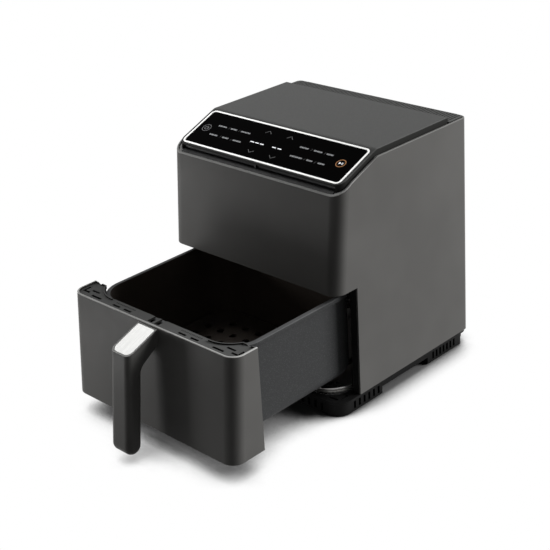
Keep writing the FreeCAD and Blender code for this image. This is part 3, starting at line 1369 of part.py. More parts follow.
def drawer_cap():
    """The slotted strip closing the top of the drawer's face, reaching over the basket's front rim."""
    high = CAP_TOP_Z
    low = high - CAP_THICK
    clear = RIM_WIDTH + FIT_GAP
    plate = drawer_block(SHELL_WALL + FIT_GAP, FIT_GAP, low, high, basket_plan(clear, -OVER, FAR))
    strip = box(-STRIP_HALF, STRIP_HALF, BASKET_FRONT_Y - clear - SIDE_OVER, BASKET_FRONT_Y - STRIP_BACK,
                low, high)
    return joined([plate, strip, cap_lips()]).cut(Part.makeCompound(cap_slots()))


def basket():
    """The pressed steel tub with rounded corners and a rim that rides on the rails."""
    outer = basket_plan(0, BASKET_LOW_Z, BASKET_RIM_Z)
    outer = outer.makeFillet(BASKET_BOTTOM_R, edges_at(outer, BASKET_LOW_Z))
    floor = BASKET_LOW_Z + BASKET_WALL
    inner = basket_plan(-BASKET_WALL, floor, BASKET_RIM_Z + OVER)
    inner = inner.makeFillet(BASKET_BOTTOM_R - BASKET_WALL, edges_at(inner, floor))
    rim = basket_plan(RIM_WIDTH, BASKET_RIM_Z - RIM_HEIGHT, BASKET_RIM_Z)
    rim = rim.makeFillet(RIM_EDGE_R, edges_at(rim, BASKET_RIM_Z))
    tub = joined([outer, rim]).cut(inner)
    holes = [screw_hole(x, BASKET_FRONT_Y, BASKET_SCREW_Z, BACK, OVER)
             for x in (-BASKET_SCREW_X, BASKET_SCREW_X)]
    return tub.cut(Part.makeCompound(holes))


def basket_screws():
    start = BASKET_FRONT_Y + BASKET_WALL + SCREW_HEAD
    return Part.makeCompound([screw(x, start, BASKET_SCREW_Z, FORWARD, BASKET_SCREW_LENGTH)
                              for x in (-BASKET_SCREW_X, BASKET_SCREW_X)])


def grip_front(z):
    return GRIP_FRONT_Y - GRIP_LEAN * (GRIP_TOP_Z - z)


def handle_profile():
    """The side profile: sloping arm, leaning grip with a round lower end, rounded inner corner."""
    lean = V(0, GRIP_LEAN, 1).normalize()
    across = V(0, lean.z, -lean.y)
    radius = GRIP_THICK / 2
    low_front = V(0, grip_front(GRIP_LOW_Z + radius), GRIP_LOW_Z + radius)
    low_back = low_front + across * GRIP_THICK
    low_tip = low_front + across * radius - lean * radius
    top_front = V(0, grip_front(GRIP_TOP_Z), GRIP_TOP_Z)
    root_top = V(0, front_y(ARM_TOP_Z), ARM_TOP_Z)
    root_low = V(0, front_y(ARM_LOW_Z), ARM_LOW_Z)
    corner = low_back + lean * ((ARM_INNER_Z - low_back.z) / lean.z)
    arm = (root_low - corner).normalize()
    turn = math.acos(max(-1.0, min(1.0, arm.dot(lean * -1.0))))
    reach = ARM_INNER_R / math.tan(turn / 2)
    start = corner - lean * reach
    end = corner + arm * reach
    bisector = (arm - lean).normalize()
    hub = corner + bisector * (ARM_INNER_R / math.sin(turn / 2))
    middle = hub - bisector * ARM_INNER_R
    edges = [Part.makeLine(root_top, top_front), Part.makeLine(top_front, low_front),
             Part.Arc(low_front, low_tip, low_back).toShape(), Part.makeLine(low_back, start),
             Part.Arc(start, middle, end).toShape(), Part.makeLine(end, root_low),
             Part.makeLine(root_low, root_top)]
    return Part.Face(Part.Wire(edges))


ARM_ANGLE = math.degrees(math.atan2(ARM_TOP_Z - GRIP_TOP_Z, front_y(ARM_TOP_Z) - GRIP_FRONT_Y))
ARM_LENGTH = math.hypot(ARM_TOP_Z - GRIP_TOP_Z, front_y(ARM_TOP_Z) - GRIP_FRONT_Y)


def inlay_plate(margin, thick):
    """A plate on the arm's sloping top, with round front corners, measured from the grip's front."""
    radius = INLAY_CORNER_R - margin
    half = HANDLE_HALF - INLAY_MARGIN - margin
    y0 = INLAY_MARGIN + margin
    y1 = ARM_LENGTH - INLAY_END_GAP - margin
    plate = rounded_plate(half, y0, y1, -thick, 0.0, radius, EDGE_R)
    turn = FreeCAD.Rotation(V(1, 0, 0), ARM_ANGLE)
    plate.Placement = FreeCAD.Placement(V(0, GRIP_FRONT_Y, GRIP_TOP_Z), turn)
    return plate


def handle():
    """The one-piece handle: arm from the drawer's face and a grip hanging down in front of it."""
    face = handle_profile()
    face.translate(V(-HANDLE_HALF, 0, 0))
    body = face.extrude(V(2 * HANDLE_HALF, 0, 0))
    edges = []
    for edge in body.Edges:
        centre = edge.BoundBox.Center
        flat = edge.BoundBox.XLength < 1e-4
        on_top = abs(centre.z - (ARM_TOP_Z + GRIP_TOP_Z) / 2) < 0.01
        on_root = abs(centre.z - (ARM_TOP_Z + ARM_LOW_Z) / 2) < 0.01
        if flat and not on_top and not on_root:
            edges.append(edge)
    body = body.makeFillet(HANDLE_EDGE_R, edges)
    holes = [screw_hole(x, front_y(HANDLE_SCREW_Z), HANDLE_SCREW_Z, BACK, HANDLE_SCREW_LENGTH)
             for x in (-HANDLE_SCREW_X, HANDLE_SCREW_X)]
    return body.cut(inlay_plate(0, INLAY_THICK)).cut(Part.makeCompound(holes))


def handle_inlay():
    return inlay_plate(INLAY_FIT, INLAY_THICK)


def handle_screws():
    seat = front_y(HANDLE_SCREW_Z) + SHELL_WALL + SCREW_HEAD_R * FRONT_LEAN
    return Part.makeCompound([screw(x, seat + SCREW_HEAD, HANDLE_SCREW_Z, FORWARD, HANDLE_SCREW_LENGTH)
                              for x in (-HANDLE_SCREW_X, HANDLE_SCREW_X)])


PLATE_GROW = -BASKET_WALL - PLATE_MARGIN


def crisper_plate():
    """The perforated tray that stands on four legs on the basket's floor."""
    plate = basket_plan(PLATE_GROW, PLATE_Z, PLATE_Z + PLATE_THICK)
    floor = BASKET_LOW_Z + BASKET_WALL + PLATE_REST_GAP
    inset = BASKET_BOTTOM_R + PLATE_LEG_R + PLATE_MARGIN
    legs = []
    for x in (-1, 1):
        for y in (BASKET_FRONT_Y + inset, BASKET_REAR_Y - inset):
            legs.append(rod(x * (BASKET_HALF - inset), y, floor, PLATE_LEG_R, PLATE_Z - floor))
    return joined([plate] + legs).cut(Part.makeCompound(plate_holes()))


def plate_holes():
    holes = []
    reach_x = BASKET_HALF - PLATE_HOLE_MARGIN - PLATE_MARGIN
    centre_y = (BASKET_FRONT_Y + BASKET_REAR_Y) / 2
    reach_y = (BASKET_REAR_Y - BASKET_FRONT_Y) / 2 - PLATE_HOLE_MARGIN - PLATE_MARGIN
    count_x = int(reach_x // PLATE_HOLE_PITCH)
    count_y = int(reach_y // PLATE_HOLE_PITCH)
    for i in range(-count_x, count_x + 1):
        for j in range(-count_y, count_y + 1):
            if abs(i) == count_x and abs(j) == count_y:
                continue
            holes.append(rod(i * PLATE_HOLE_PITCH, centre_y + j * PLATE_HOLE_PITCH, 0, PLATE_HOLE_R, FAR))
    return holes


def plate_tabs():
    """Soft tabs round the tray's edge that keep it off the basket's walls."""
    low = PLATE_Z - (TAB_HEIGHT - PLATE_THICK) / 2
    outer = basket_plan(PLATE_GROW + TAB_REACH, low, low + TAB_HEIGHT)
    ring = outer.cut(basket_plan(PLATE_GROW - TAB_INNER, 0, FAR))
    middle = (BASKET_FRONT_Y + BASKET_REAR_Y) / 2
    half = TAB_LENGTH / 2
    arms = [box(-half, half, -FAR, FAR, 0, FAR), box(-FAR, FAR, middle - half, middle + half, 0, FAR)]
    tabs = ring.common(Part.makeCompound(arms))
    return tabs.cut(basket_plan(PLATE_GROW, PLATE_Z, PLATE_Z + PLATE_THICK))


def housing_pieces():
    return {"outer_shell": outer_shell(), "rear_cover": rear_cover(), "cover_screws": cover_screws(),
            "top_cover": top_cover(), "front_band": front_band(), "panel_trim": panel_trim(),
            "touch_panel": touch_panel(), "light_guide": light_guide(), "control_board": control_board(),
            "board_screws": board_screws(), "buzzer": buzzer(), "rear_grille": rear_grille(),
            "base": base(), "foot_pads": foot_pads(), "base_deck": base_deck(), "base_screws": base_screws(),
            "front_frame": front_frame(), "reed_switch": reed_switch(), "cord_gland": cord_gland(),
            "terminal_block": terminal_block(), "power_board": power_board()}


def chamber_pieces():
    return {"chamber_liner": chamber_liner(), "left_rail": rail(-1), "right_rail": rail(1),
            "lower_reflector": lower_reflector(), "lower_heater": lower_heater(),
            "heater_clips": heater_clips(), "upper_dome": upper_dome(), "upper_heater": upper_heater(),
            "heater_guard": heater_guard(), "motor_bracket": motor_bracket(), "motor": motor(),
            "motor_screws": motor_screws(), "temperature_probe": temperature_probe(),
            "thermal_fuse": thermal_fuse(), "exhaust_duct": exhaust_duct()}


def spinning_pieces():
    return {"motor_shaft": motor_shaft(), "hot_air_fan": hot_air_fan(), "cooling_fan": cooling_fan(),
            "fan_nut": fan_nut()}


def drawer_pieces():
    return {"drawer_front": drawer_front(), "drawer_inner": drawer_inner(), "drawer_cap": drawer_cap(),
            "basket": basket(), "basket_screws": basket_screws(), "handle": handle(),
            "handle_inlay": handle_inlay(), "handle_screws": handle_screws(), "magnet": magnet(),
            "crisper_plate": crisper_plate(), "plate_tabs": plate_tabs()}


def build():
    """Draws the drawer out, centres the whole part over the origin and writes every piece."""
    fixed = {**housing_pieces(), **chamber_pieces(), **spinning_pieces()}
    sliding = drawer_pieces()
    for shape in sliding.values():
        shape.translate(V(0, -DRAWER_OPEN, 0))
    pieces = {**fixed, **sliding}
    front = min(s.BoundBox.YMin for s in pieces.values())
    back = max(s.BoundBox.YMax for s in pieces.values())
    shift = -(front + back) / 2
    for name, shape in pieces.items():
        shape.translate(V(0, shift, 0))
        shape.exportStep("parts/" + name + ".step")
    print("pieces", len(pieces), "moved back by", round(shift, 3), "fan axis at y", round(FAN_Y + shift, 3))


build()
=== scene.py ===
# %% [markdown]
# ## A countertop air fryer
# The fryer comes in as a imported model: each piece of the real object is one solid, already in its
# place, in metres. Here it gets its finishes, the lit marks on its glass, a camera and a small studio.

# %% Load the imported fryer
import bpy
import bmesh
import json
import math
from mathutils import Euler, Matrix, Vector


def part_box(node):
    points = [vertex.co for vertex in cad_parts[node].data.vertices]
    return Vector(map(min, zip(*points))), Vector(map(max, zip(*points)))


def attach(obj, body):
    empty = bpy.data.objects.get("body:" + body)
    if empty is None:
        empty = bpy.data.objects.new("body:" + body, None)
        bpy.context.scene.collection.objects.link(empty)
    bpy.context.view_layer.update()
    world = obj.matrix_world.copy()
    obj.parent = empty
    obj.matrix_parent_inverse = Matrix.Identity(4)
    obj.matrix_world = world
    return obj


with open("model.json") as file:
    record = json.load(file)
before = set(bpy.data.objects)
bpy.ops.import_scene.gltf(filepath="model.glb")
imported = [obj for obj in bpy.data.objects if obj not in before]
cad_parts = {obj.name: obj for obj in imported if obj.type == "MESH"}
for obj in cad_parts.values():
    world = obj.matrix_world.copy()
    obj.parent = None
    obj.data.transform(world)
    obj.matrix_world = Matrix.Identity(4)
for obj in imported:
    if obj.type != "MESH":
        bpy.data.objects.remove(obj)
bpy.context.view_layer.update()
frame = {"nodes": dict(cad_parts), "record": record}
print("pieces loaded:", len(frame["nodes"]))

# %% [markdown]
# The camera stands in front of the fryer, to its right and above it, so that the panel, the drawn-out
# drawer and the grey side all show. A long lens from over a metre away keeps the upright edges
# nearly parallel, as in a shop picture. The slight roll is part of the view.

# %% Camera
CAMERA_PLACE = (1.05086, -1.02040, 0.84780)
CAMERA_TURN = (64.634, 3.267, 43.729)
LENS_MM = 82.71
SENSOR_MM = 36.0
FRAME_SHIFT = (0.00573, 0.0003)

lens = bpy.data.cameras.new("view_lens")
lens.lens = LENS_MM
lens.sensor_width = SENSOR_MM
lens.shift_x = FRAME_SHIFT[0]
lens.shift_y = FRAME_SHIFT[1]
camera = bpy.data.objects.new("view_camera", lens)
camera.location = CAMERA_PLACE
camera.rotation_euler = Euler([math.radians(turn) for turn in CAMERA_TURN])
bpy.context.collection.objects.link(camera)
bpy.context.scene.camera = camera
print("camera height:", CAMERA_PLACE[2])

# %% [markdown]
# The room looks plain white to the lens, and also in the fryer's bright metal and glass. The soft light
# that it sends onto dull surfaces is much weaker, as if dark cloths hung behind the camera, so that
# the lamps shape the object.

# %% White room
ROOM_FILL = 0.02


def white_rays(tree):
    """1 for the rays that show the room: to the lens, off a shine and through something clear."""
    path = tree.nodes.new("ShaderNodeLightPath")
    share = path.outputs["Is Camera Ray"]
    for kind in ("Is Glossy Ray", "Is Transmission Ray"):
        either = tree.nodes.new("ShaderNodeMath")
        either.operation = "MAXIMUM"
        tree.links.new(share, either.inputs[0])
        tree.links.new(path.outputs[kind], either.inputs[1])
        share = either.outputs[0]
    return share


scene = bpy.context.scene
scene.view_settings.view_transform = "Standard"
room = bpy.data.worlds.new("white_room")
scene.world = room
room.use_nodes = True
sky = room.node_tree
sky.nodes.clear()
soft_fill = sky.nodes.new("ShaderNodeBackground")
soft_fill.inputs["Color"].default_value = (1.0, 1.0, 1.0, 1.0)
soft_fill.inputs["Strength"].default_value = ROOM_FILL
seen_white = sky.nodes.new("ShaderNodeBackground")
seen_white.inputs["Color"].default_value = (1.0, 1.0, 1.0, 1.0)
by_ray = sky.nodes.new("ShaderNodeMixShader")
sky_out = sky.nodes.new("ShaderNodeOutputWorld")
sky.links.new(white_rays(sky), by_ray.inputs["Fac"])
sky.links.new(soft_fill.outputs[0], by_ray.inputs[1])
sky.links.new(seen_white.outputs[0], by_ray.inputs[2])
sky.links.new(by_ray.outputs[0], sky_out.inputs["Surface"])
print("room fill:", ROOM_FILL)

# %% [markdown]
# The floor is paper that takes the fryer's shadow. To the lens it glows white wherever it lies open to
# the room. Close under the base and the drawer, where little of the room can be seen from the paper,
# the glow dies away and leaves a tight dark shadow. Further off the paper runs into the white room
# with no edge. To the fryer itself the paper is only pale grey, which keeps its lower faces dark.

# %% Floor
FLOOR_HALF = 5.0
SHADOW_REACH = 0.06
SHADOW_OPENNESS = 0.42
WHITE_OPENNESS = 0.8
LENS_PAPER = 0.15
BOUNCE_PAPER = 0.3

corners = [(sx * FLOOR_HALF, sy * FLOOR_HALF, 0.0) for sx, sy in ((-1, -1), (1, -1), (1, 1), (-1, 1))]
paper = bpy.data.meshes.new("floor_paper")
paper.from_pydata(corners, [], [(0, 1, 2, 3)])
floor = bpy.data.objects.new("floor_paper", paper)
bpy.context.collection.objects.link(floor)

white = bpy.data.materials.new("white_paper")
white.use_nodes = True
tree = white.node_tree
tree.nodes.clear()
openness = tree.nodes.new("ShaderNodeAmbientOcclusion")
openness.inputs["Distance"].default_value = SHADOW_REACH
glow_share = tree.nodes.new("ShaderNodeMapRange")
glow_share.interpolation_type = "SMOOTHSTEP"
glow_share.inputs["From Min"].default_value = SHADOW_OPENNESS
glow_share.inputs["From Max"].default_value = WHITE_OPENNESS
lens_paper = tree.nodes.new("ShaderNodeBsdfDiffuse")
lens_paper.inputs["Color"].default_value = (LENS_PAPER, LENS_PAPER, LENS_PAPER, 1.0)
bounce_paper = tree.nodes.new("ShaderNodeBsdfDiffuse")
bounce_paper.inputs["Color"].default_value = (BOUNCE_PAPER, BOUNCE_PAPER, BOUNCE_PAPER, 1.0)
glow = tree.nodes.new("ShaderNodeEmission")
glowing = tree.nodes.new("ShaderNodeMixShader")
by_ray = tree.nodes.new("ShaderNodeMixShader")
paper_out = tree.nodes.new("ShaderNodeOutputMaterial")
tree.links.new(openness.outputs["AO"], glow_share.inputs["Value"])
tree.links.new(glow_share.outputs["Result"], glowing.inputs["Fac"])
tree.links.new(lens_paper.outputs[0], glowing.inputs[1])
tree.links.new(glow.outputs[0], glowing.inputs[2])
tree.links.new(white_rays(tree), by_ray.inputs["Fac"])
tree.links.new(bounce_paper.outputs[0], by_ray.inputs[1])
tree.links.new(glowing.outputs[0], by_ray.inputs[2])
tree.links.new(by_ray.outputs[0], paper_out.inputs["Surface"])
floor.data.materials.append(white)
print("floor side in metres:", 2 * FLOOR_HALF)

# %% [markdown]
# Four soft boxes light it. A large one far behind the right shoulder brightens the grey side. Two
# small ones close by on the left graze the drawer's face and the upper front, so that the light falls
# off to the right and the handle throws a long shadow over the drawer. One high on the left lights the
# lid and shines back from the bright plate on the handle. The rounded corner between the front and
# the side faces none of them, so it stays dark.

# %% Soft boxes


def soft_box(name, place, aim, width, watts):
    """A square area lamp that looks at a point and that the lens itself doesn't see."""
    lamp = bpy.data.lights.new(name, "AREA")
    lamp.shape = "SQUARE"
    lamp.size = width
    lamp.energy = watts
    box = bpy.data.objects.new(name, lamp)
    box.location = place
    box.rotation_euler = (Vector(aim) - Vector(place)).to_track_quat("-Z", "Y").to_euler()
    box.visible_camera = False
    bpy.context.collection.objects.link(box)


soft_box("right_box", place=(2.9, 3.2, 2.0), aim=(0.1, 0.0, 0.16), width=2.4, watts=294.0)
soft_box("low_left_box", place=(-0.3, -0.46, 0.03), aim=(-0.1, -0.19, 0.1), width=0.1, watts=0.7)
soft_box("high_left_box", place=(-0.33, -0.16, 0.2), aim=(-0.1, 0.0, 0.24), width=0.1, watts=0.27)
soft_box("upper_left_box", place=(-0.68, -0.07, 1.17), aim=(0.0, -0.1, 0.2), width=0.5, watts=3.0)

# %% [markdown]
# ## Finishes
# Each finish starts from one shader with its plain values, then gets the small irregularities that
# make a surface look real: grain, flecks, brushing and slow changes of gloss. All of it is worked
# out from the place on the piece itself, so it stays put when a piece moves. A value that is the same
# all over goes straight onto the shader's socket.

# %% Start a finish
finishes = {}


def new_finish(name, colour, roughness, metallic=0.0, specular=0.5):
    """A finish whose constant values sit on the shader's own sockets."""
    finish = bpy.data.materials.new(name)
    finish.use_nodes = True
    shader = finish.node_tree.nodes["Principled BSDF"]
    shader.inputs["Base Color"].default_value = (*colour, 1.0)
    shader.inputs["Roughness"].default_value = roughness
    shader.inputs["Metallic"].default_value = metallic
    shader.inputs["Specular IOR Level"].default_value = specular
    return finish


def shader_of(finish):
    return finish.node_tree.nodes["Principled BSDF"]


def shade(colour, share):
    return tuple(part * share for part in colour)


print("finish starter ready")

# %% [markdown]
# One kind of noise serves for all the irregularities. It can be drawn out along an axis, as brushing
# and rolling marks are, and then moves the gloss, the colour or the height of the surface. Most of the
# noise lies well inside 0 to 1, so only that middle stretch is used.

# %% Grain and what it moves
NOISE_LOW = 0.3
NOISE_HIGH = 0.7


def grain(finish, size, detail=2.0, stretch=(1.0, 1.0, 1.0)):
    """Noise with lumps about size metres across, drawn out along an axis where stretch is below 1."""
    tree = finish.node_tree
    place = tree.nodes.new("ShaderNodeTexCoord")
    squeeze = tree.nodes.new("ShaderNodeMapping")
    squeeze.inputs["Scale"].default_value = stretch
    lumps = tree.nodes.new("ShaderNodeTexNoise")
    lumps.inputs["Scale"].default_value = 1.0 / size
    lumps.inputs["Detail"].default_value = detail
    tree.links.new(place.outputs["Object"], squeeze.inputs["Vector"])
    tree.links.new(squeeze.outputs["Vector"], lumps.inputs["Vector"])
    return lumps.outputs["Fac"]


def vary(finish, source, socket, low, high):
    """Lets a texture move one number of the shader between low and high."""
    tree = finish.node_tree
    span = tree.nodes.new("ShaderNodeMapRange")
    span.inputs["From Min"].default_value = NOISE_LOW
    span.inputs["From Max"].default_value = NOISE_HIGH
    span.inputs["To Min"].default_value = low
    span.inputs["To Max"].default_value = high
    tree.links.new(source, span.inputs["Value"])
    tree.links.new(span.outputs["Result"], shader_of(finish).inputs[socket])


def tint(finish, source, dark, light, start=0.35, end=0.65):
    """Lets a texture move the colour from dark to light."""
    tree = finish.node_tree
    ramp = tree.nodes.new("ShaderNodeValToRGB")
    low, high = ramp.color_ramp.elements
    low.position = start
    low.color = (*dark, 1.0)
    high.position = end
    high.color = (*light, 1.0)
    tree.links.new(source, ramp.inputs["Fac"])
    tree.links.new(ramp.outputs["Color"], shader_of(finish).inputs["Base Color"])
    return ramp.outputs["Color"]


def emboss(finish, source, height, strength=1.0):
    """Raises the surface by up to height metres where a texture is light."""
    tree = finish.node_tree
    relief = tree.nodes.new("ShaderNodeBump")
    relief.inputs["Distance"].default_value = height
    relief.inputs["Strength"].default_value = strength
    tree.links.new(source, relief.inputs["Height"])
    tree.links.new(relief.outputs["Normal"], shader_of(finish).inputs["Normal"])


print("noise used from", NOISE_LOW, "to", NOISE_HIGH)

# %% [markdown]
# Some finishes change colour with the way the surface faces, or along the fryer: pale painted
# highlights on upward edges and front lips, and the grey tops of the lid. A share between 0 and 1
# says how much of the second colour a point gets.

# %% Colour by facing: painted highlights and grey tops


def facing(finish, axis, low, high):
    """Grows from 0 to 1 as the surface's slope along an axis goes from low to high."""
    tree = finish.node_tree
    place = tree.nodes.new("ShaderNodeTexCoord")
    parts = tree.nodes.new("ShaderNodeSeparateXYZ")
    span = tree.nodes.new("ShaderNodeMapRange")
    span.inputs["From Min"].default_value = low
    span.inputs["From Max"].default_value = high
    tree.links.new(place.outputs["Normal"], parts.inputs["Vector"])
    tree.links.new(parts.outputs[axis], span.inputs["Value"])
    return span.outputs["Result"]


def lessen(finish, share, axis, start, end, least):
    """Weakens a share from whole to least between two places along an axis."""
    tree = finish.node_tree
    place = tree.nodes.new("ShaderNodeTexCoord")
    parts = tree.nodes.new("ShaderNodeSeparateXYZ")
    span = tree.nodes.new("ShaderNodeMapRange")
    span.inputs["From Min"].default_value = start
    span.inputs["From Max"].default_value = end
    span.inputs["To Min"].default_value = 1.0
    span.inputs["To Max"].default_value = least
    product = tree.nodes.new("ShaderNodeMath")
    product.operation = "MULTIPLY"
    tree.links.new(place.outputs["Object"], parts.inputs["Vector"])
    tree.links.new(parts.outputs[axis], span.inputs["Value"])
    tree.links.new(share, product.inputs[0])
    tree.links.new(span.outputs["Result"], product.inputs[1])
    return product.outputs[0]


def blend(finish, share, below, above):
    """Gives the shader a colour between two others; each may be a colour or a texture's output."""
    tree = finish.node_tree
    mix = tree.nodes.new("ShaderNodeMix")
    mix.data_type = "RGBA"
    tree.links.new(share, mix.inputs["Factor"])
    for name, colour in (("A", below), ("B", above)):
        if isinstance(colour, tuple):
            mix.inputs[name].default_value = (*colour, 1.0)
        else:
            tree.links.new(colour, mix.inputs[name])
    tree.links.new(mix.outputs["Result"], shader_of(finish).inputs["Base Color"])
    return mix.outputs["Result"]


print("finish tools ready")

# %% [markdown]
# The wrap, the drawer's face and the handle share one satin grey: a fine metallic paint baked on
# steel. It is neither matte nor mirror-like, so each flat face shows a soft gradient. Close up it
# has the orange-peel ripple of sprayed paint. Its upward-facing edges get a pale painted highlight,
# strongest at the front and weaker towards the back.

# %% Satin grey paint
SATIN = (0.118, 0.116, 0.112)
# Pale colour painted on upward-facing edges as a painted highlight, fading towards the back.
PAINTED_EDGE_HIGHLIGHT = (0.6, 0.6, 0.585)
EDGE_HIGHLIGHT_FADE = (0.012, 0.06)
REAR_EDGE_HIGHLIGHT = 0.2
satin = new_finish("satin_grey_paint", SATIN, 0.45, specular=0.06)
paint = tint(satin, grain(satin, 0.09), shade(SATIN, 0.94), shade(SATIN, 1.06))
edge_highlight = lessen(satin, facing(satin, "Z", 0.2, 0.5), "Y", *EDGE_HIGHLIGHT_FADE, REAR_EDGE_HIGHLIGHT)
blend(satin, edge_highlight, paint, PAINTED_EDGE_HIGHLIGHT)
vary(satin, grain(satin, 0.02, 4.0), "Roughness", 0.42, 0.48)
emboss(satin, grain(satin, 0.0006, 3.0), 0.00002, 0.5)
finishes["satin_grey"] = satin
print(satin.name)

# %% [markdown]
# The lid, the grille behind it and the drawer's cap are moulded plastic, grey on faces that look
# upward and near black on walls that stand upright. The mould is spark-eroded, which leaves an even
# fine grain and takes away the shine.

# %% Grained lid plastic
LID = (0.122, 0.123, 0.121)
LID_WALL = (0.022, 0.022, 0.021)
lid = new_finish("grained_lid_plastic", LID, 0.62, specular=0.05)
grey_top = tint(lid, grain(lid, 0.0012, 3.0), shade(LID, 0.9), shade(LID, 1.08))
blend(lid, facing(lid, "Z", 0.45, 0.75), LID_WALL, grey_top)
vary(lid, grain(lid, 0.004, 3.0), "Roughness", 0.6, 0.66)
emboss(lid, grain(lid, 0.0007, 2.0), 0.00006, 0.6)
finishes["lid_grey"] = lid
print(lid.name)

# %% [markdown]
# The base, the mouth frame and the inner drawer are black moulded plastic with a faint grain, worn a
# little smoother in patches. The band under the lid's lip is a slightly paler black with a soft gloss
# and only a faint ripple, as from a polished mould.

# %% Black plastics
BLACK = (0.008, 0.008, 0.008)
black = new_finish("black_moulding", BLACK, 0.48, specular=0.06)
tint(black, grain(black, 0.05, 3.0), shade(BLACK, 0.8), shade(BLACK, 1.25))
vary(black, grain(black, 0.015, 3.0), "Roughness", 0.42, 0.56)
emboss(black, grain(black, 0.0008, 2.0), 0.00005, 0.5)
finishes["black_plastic"] = black

BAND = (0.02, 0.02, 0.021)
band = new_finish("glossed_band", BAND, 0.35, specular=0.08)
tint(band, grain(band, 0.04), shade(BAND, 0.85), shade(BAND, 1.15))
vary(band, grain(band, 0.008, 4.0), "Roughness", 0.3, 0.42)
emboss(band, grain(band, 0.012, 1.0), 0.00004, 0.2)
finishes["gloss_black"] = band
print(black.name, band.name)

# %% [markdown]
# The touch panel is glass with black ink printed on its underside, so it looks deep black and shiny.
# Fingers leave it a little uneven in gloss. Its frame is a thin ring of bright metal. It is blasted
# fine rather than polished, so that it stays pale from every side.

# %% Panel glass and bright trim
INK = (0.0015, 0.0012, 0.0012)
glass = new_finish("black_backed_glass", INK, 0.1, specular=0.005)
tint(glass, grain(glass, 0.03), shade(INK, 0.9), shade(INK, 1.1))
vary(glass, grain(glass, 0.012, 5.0), "Roughness", 0.07, 0.16)
finishes["panel_glass"] = glass

TRIM = (0.78, 0.78, 0.77)
trim = new_finish("bright_trim", TRIM, 0.6, metallic=1.0)
tint(trim, grain(trim, 0.02), shade(TRIM, 0.93), TRIM)
vary(trim, grain(trim, 0.003, 3.0), "Roughness", 0.55, 0.65)
finishes["bright_trim"] = trim
print(glass.name, trim.name)

# %% [markdown]
# The plate on the handle's arm is aluminium, brushed lengthwise on an abrasive belt. The scratches
# are long along the arm and very short across it, so the noise is drawn out that way.

# %% Brushed aluminium
ALUMINIUM = (0.56, 0.56, 0.55)
brushed = new_finish("brushed_aluminium", ALUMINIUM, 0.4, metallic=0.9)
streaks = grain(brushed, 0.0006, 5.0, stretch=(1.0, 0.02, 0.02))
tint(brushed, streaks, shade(ALUMINIUM, 0.78), shade(ALUMINIUM, 1.08))
vary(brushed, streaks, "Roughness", 0.42, 0.54)
emboss(brushed, streaks, 0.00002, 0.4)
finishes["brushed_aluminium"] = brushed
print(brushed.name)

# %% [markdown]
# The basket is pressed steel with a sprayed nonstick coat: dark slate with fine pale flecks outside,
# with a pale painted highlight on the upward faces of the rim. Inside it is a brownish grey, where
# heat has dulled it, painted lighter than the outside to stand in for the light that falls into the
# basket. Which side a point is on follows from whether the surface faces away from the middle or towards
# it.

# %% Nonstick coat
SLATE = (0.05, 0.051, 0.052)
FLECK = (0.1, 0.101, 0.102)
# Brownish inner coat, painted lighter than the outside as painted light falling into the basket.
INNER_COAT_WITH_PAINTED_LIGHT = (0.12, 0.103, 0.09)
# Pale colour painted on the rim's upward faces as a painted highlight.
PAINTED_RIM_HIGHLIGHT = (0.12, 0.122, 0.124)
FLECK_SIZE = 0.0016
SIDE_BLEND = 0.004

coat = new_finish("nonstick_coat", SLATE, 0.5, specular=0.05)
tree = coat.node_tree
place = tree.nodes.new("ShaderNodeTexCoord")
flecks = tree.nodes.new("ShaderNodeTexVoronoi")
flecks.inputs["Scale"].default_value = 1.0 / FLECK_SIZE
tree.links.new(place.outputs["Object"], flecks.inputs["Vector"])
outside = tint(coat, flecks.outputs["Distance"], FLECK, SLATE, 0.12, 0.3)
outside = blend(coat, facing(coat, "Z", 0.3, 0.7), outside, PAINTED_RIM_HIGHLIGHT)

low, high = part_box("basket")
from_middle = tree.nodes.new("ShaderNodeVectorMath")
from_middle.operation = "SUBTRACT"
from_middle.inputs[1].default_value = [(a + b) / 2 for a, b in zip(low, high)]
outness = tree.nodes.new("ShaderNodeVectorMath")
outness.operation = "DOT_PRODUCT"
side = tree.nodes.new("ShaderNodeMapRange")
side.inputs["From Min"].default_value = -SIDE_BLEND
side.inputs["From Max"].default_value = SIDE_BLEND
inside_painted_lighter = tree.nodes.new("ShaderNodeMix")
inside_painted_lighter.data_type = "RGBA"
inside_painted_lighter.inputs["A"].default_value = (*INNER_COAT_WITH_PAINTED_LIGHT, 1.0)
tree.links.new(place.outputs["Object"], from_middle.inputs[0])
tree.links.new(from_middle.outputs["Vector"], outness.inputs[0])
tree.links.new(place.outputs["Normal"], outness.inputs[1])
tree.links.new(outness.outputs["Value"], side.inputs["Value"])
tree.links.new(side.outputs["Result"], inside_painted_lighter.inputs["Factor"])
tree.links.new(outside, inside_painted_lighter.inputs["B"])
tree.links.new(inside_painted_lighter.outputs["Result"], shader_of(coat).inputs["Base Color"])
vary(coat, grain(coat, 0.006, 3.0), "Roughness", 0.42, 0.58)
emboss(coat, grain(coat, 0.0009, 2.0), 0.00004, 0.5)
finishes["nonstick"] = coat
print(coat.name)

# %% [markdown]
# Inside are plain metals: mill-finish sheet for the rails and brackets, a bright pressed dish and
# fan, and tube heaters whose sheath has turned grey-brown with heat.

# %% Inner metals


def metal(name, colour, low, high, lumps, stretch=(1.0, 1.0, 1.0)):
    """Bare metal with a streaky or cloudy gloss."""
    finish = new_finish(name, colour, high, metallic=1.0)
    cloud = grain(finish, lumps, 4.0, stretch)
    tint(finish, cloud, shade(colour, 0.86), shade(colour, 1.06))
    vary(finish, cloud, "Roughness", low, high)
    emboss(finish, grain(finish, 0.0008, 2.0, stretch), 0.00002, 0.4)
    return finish


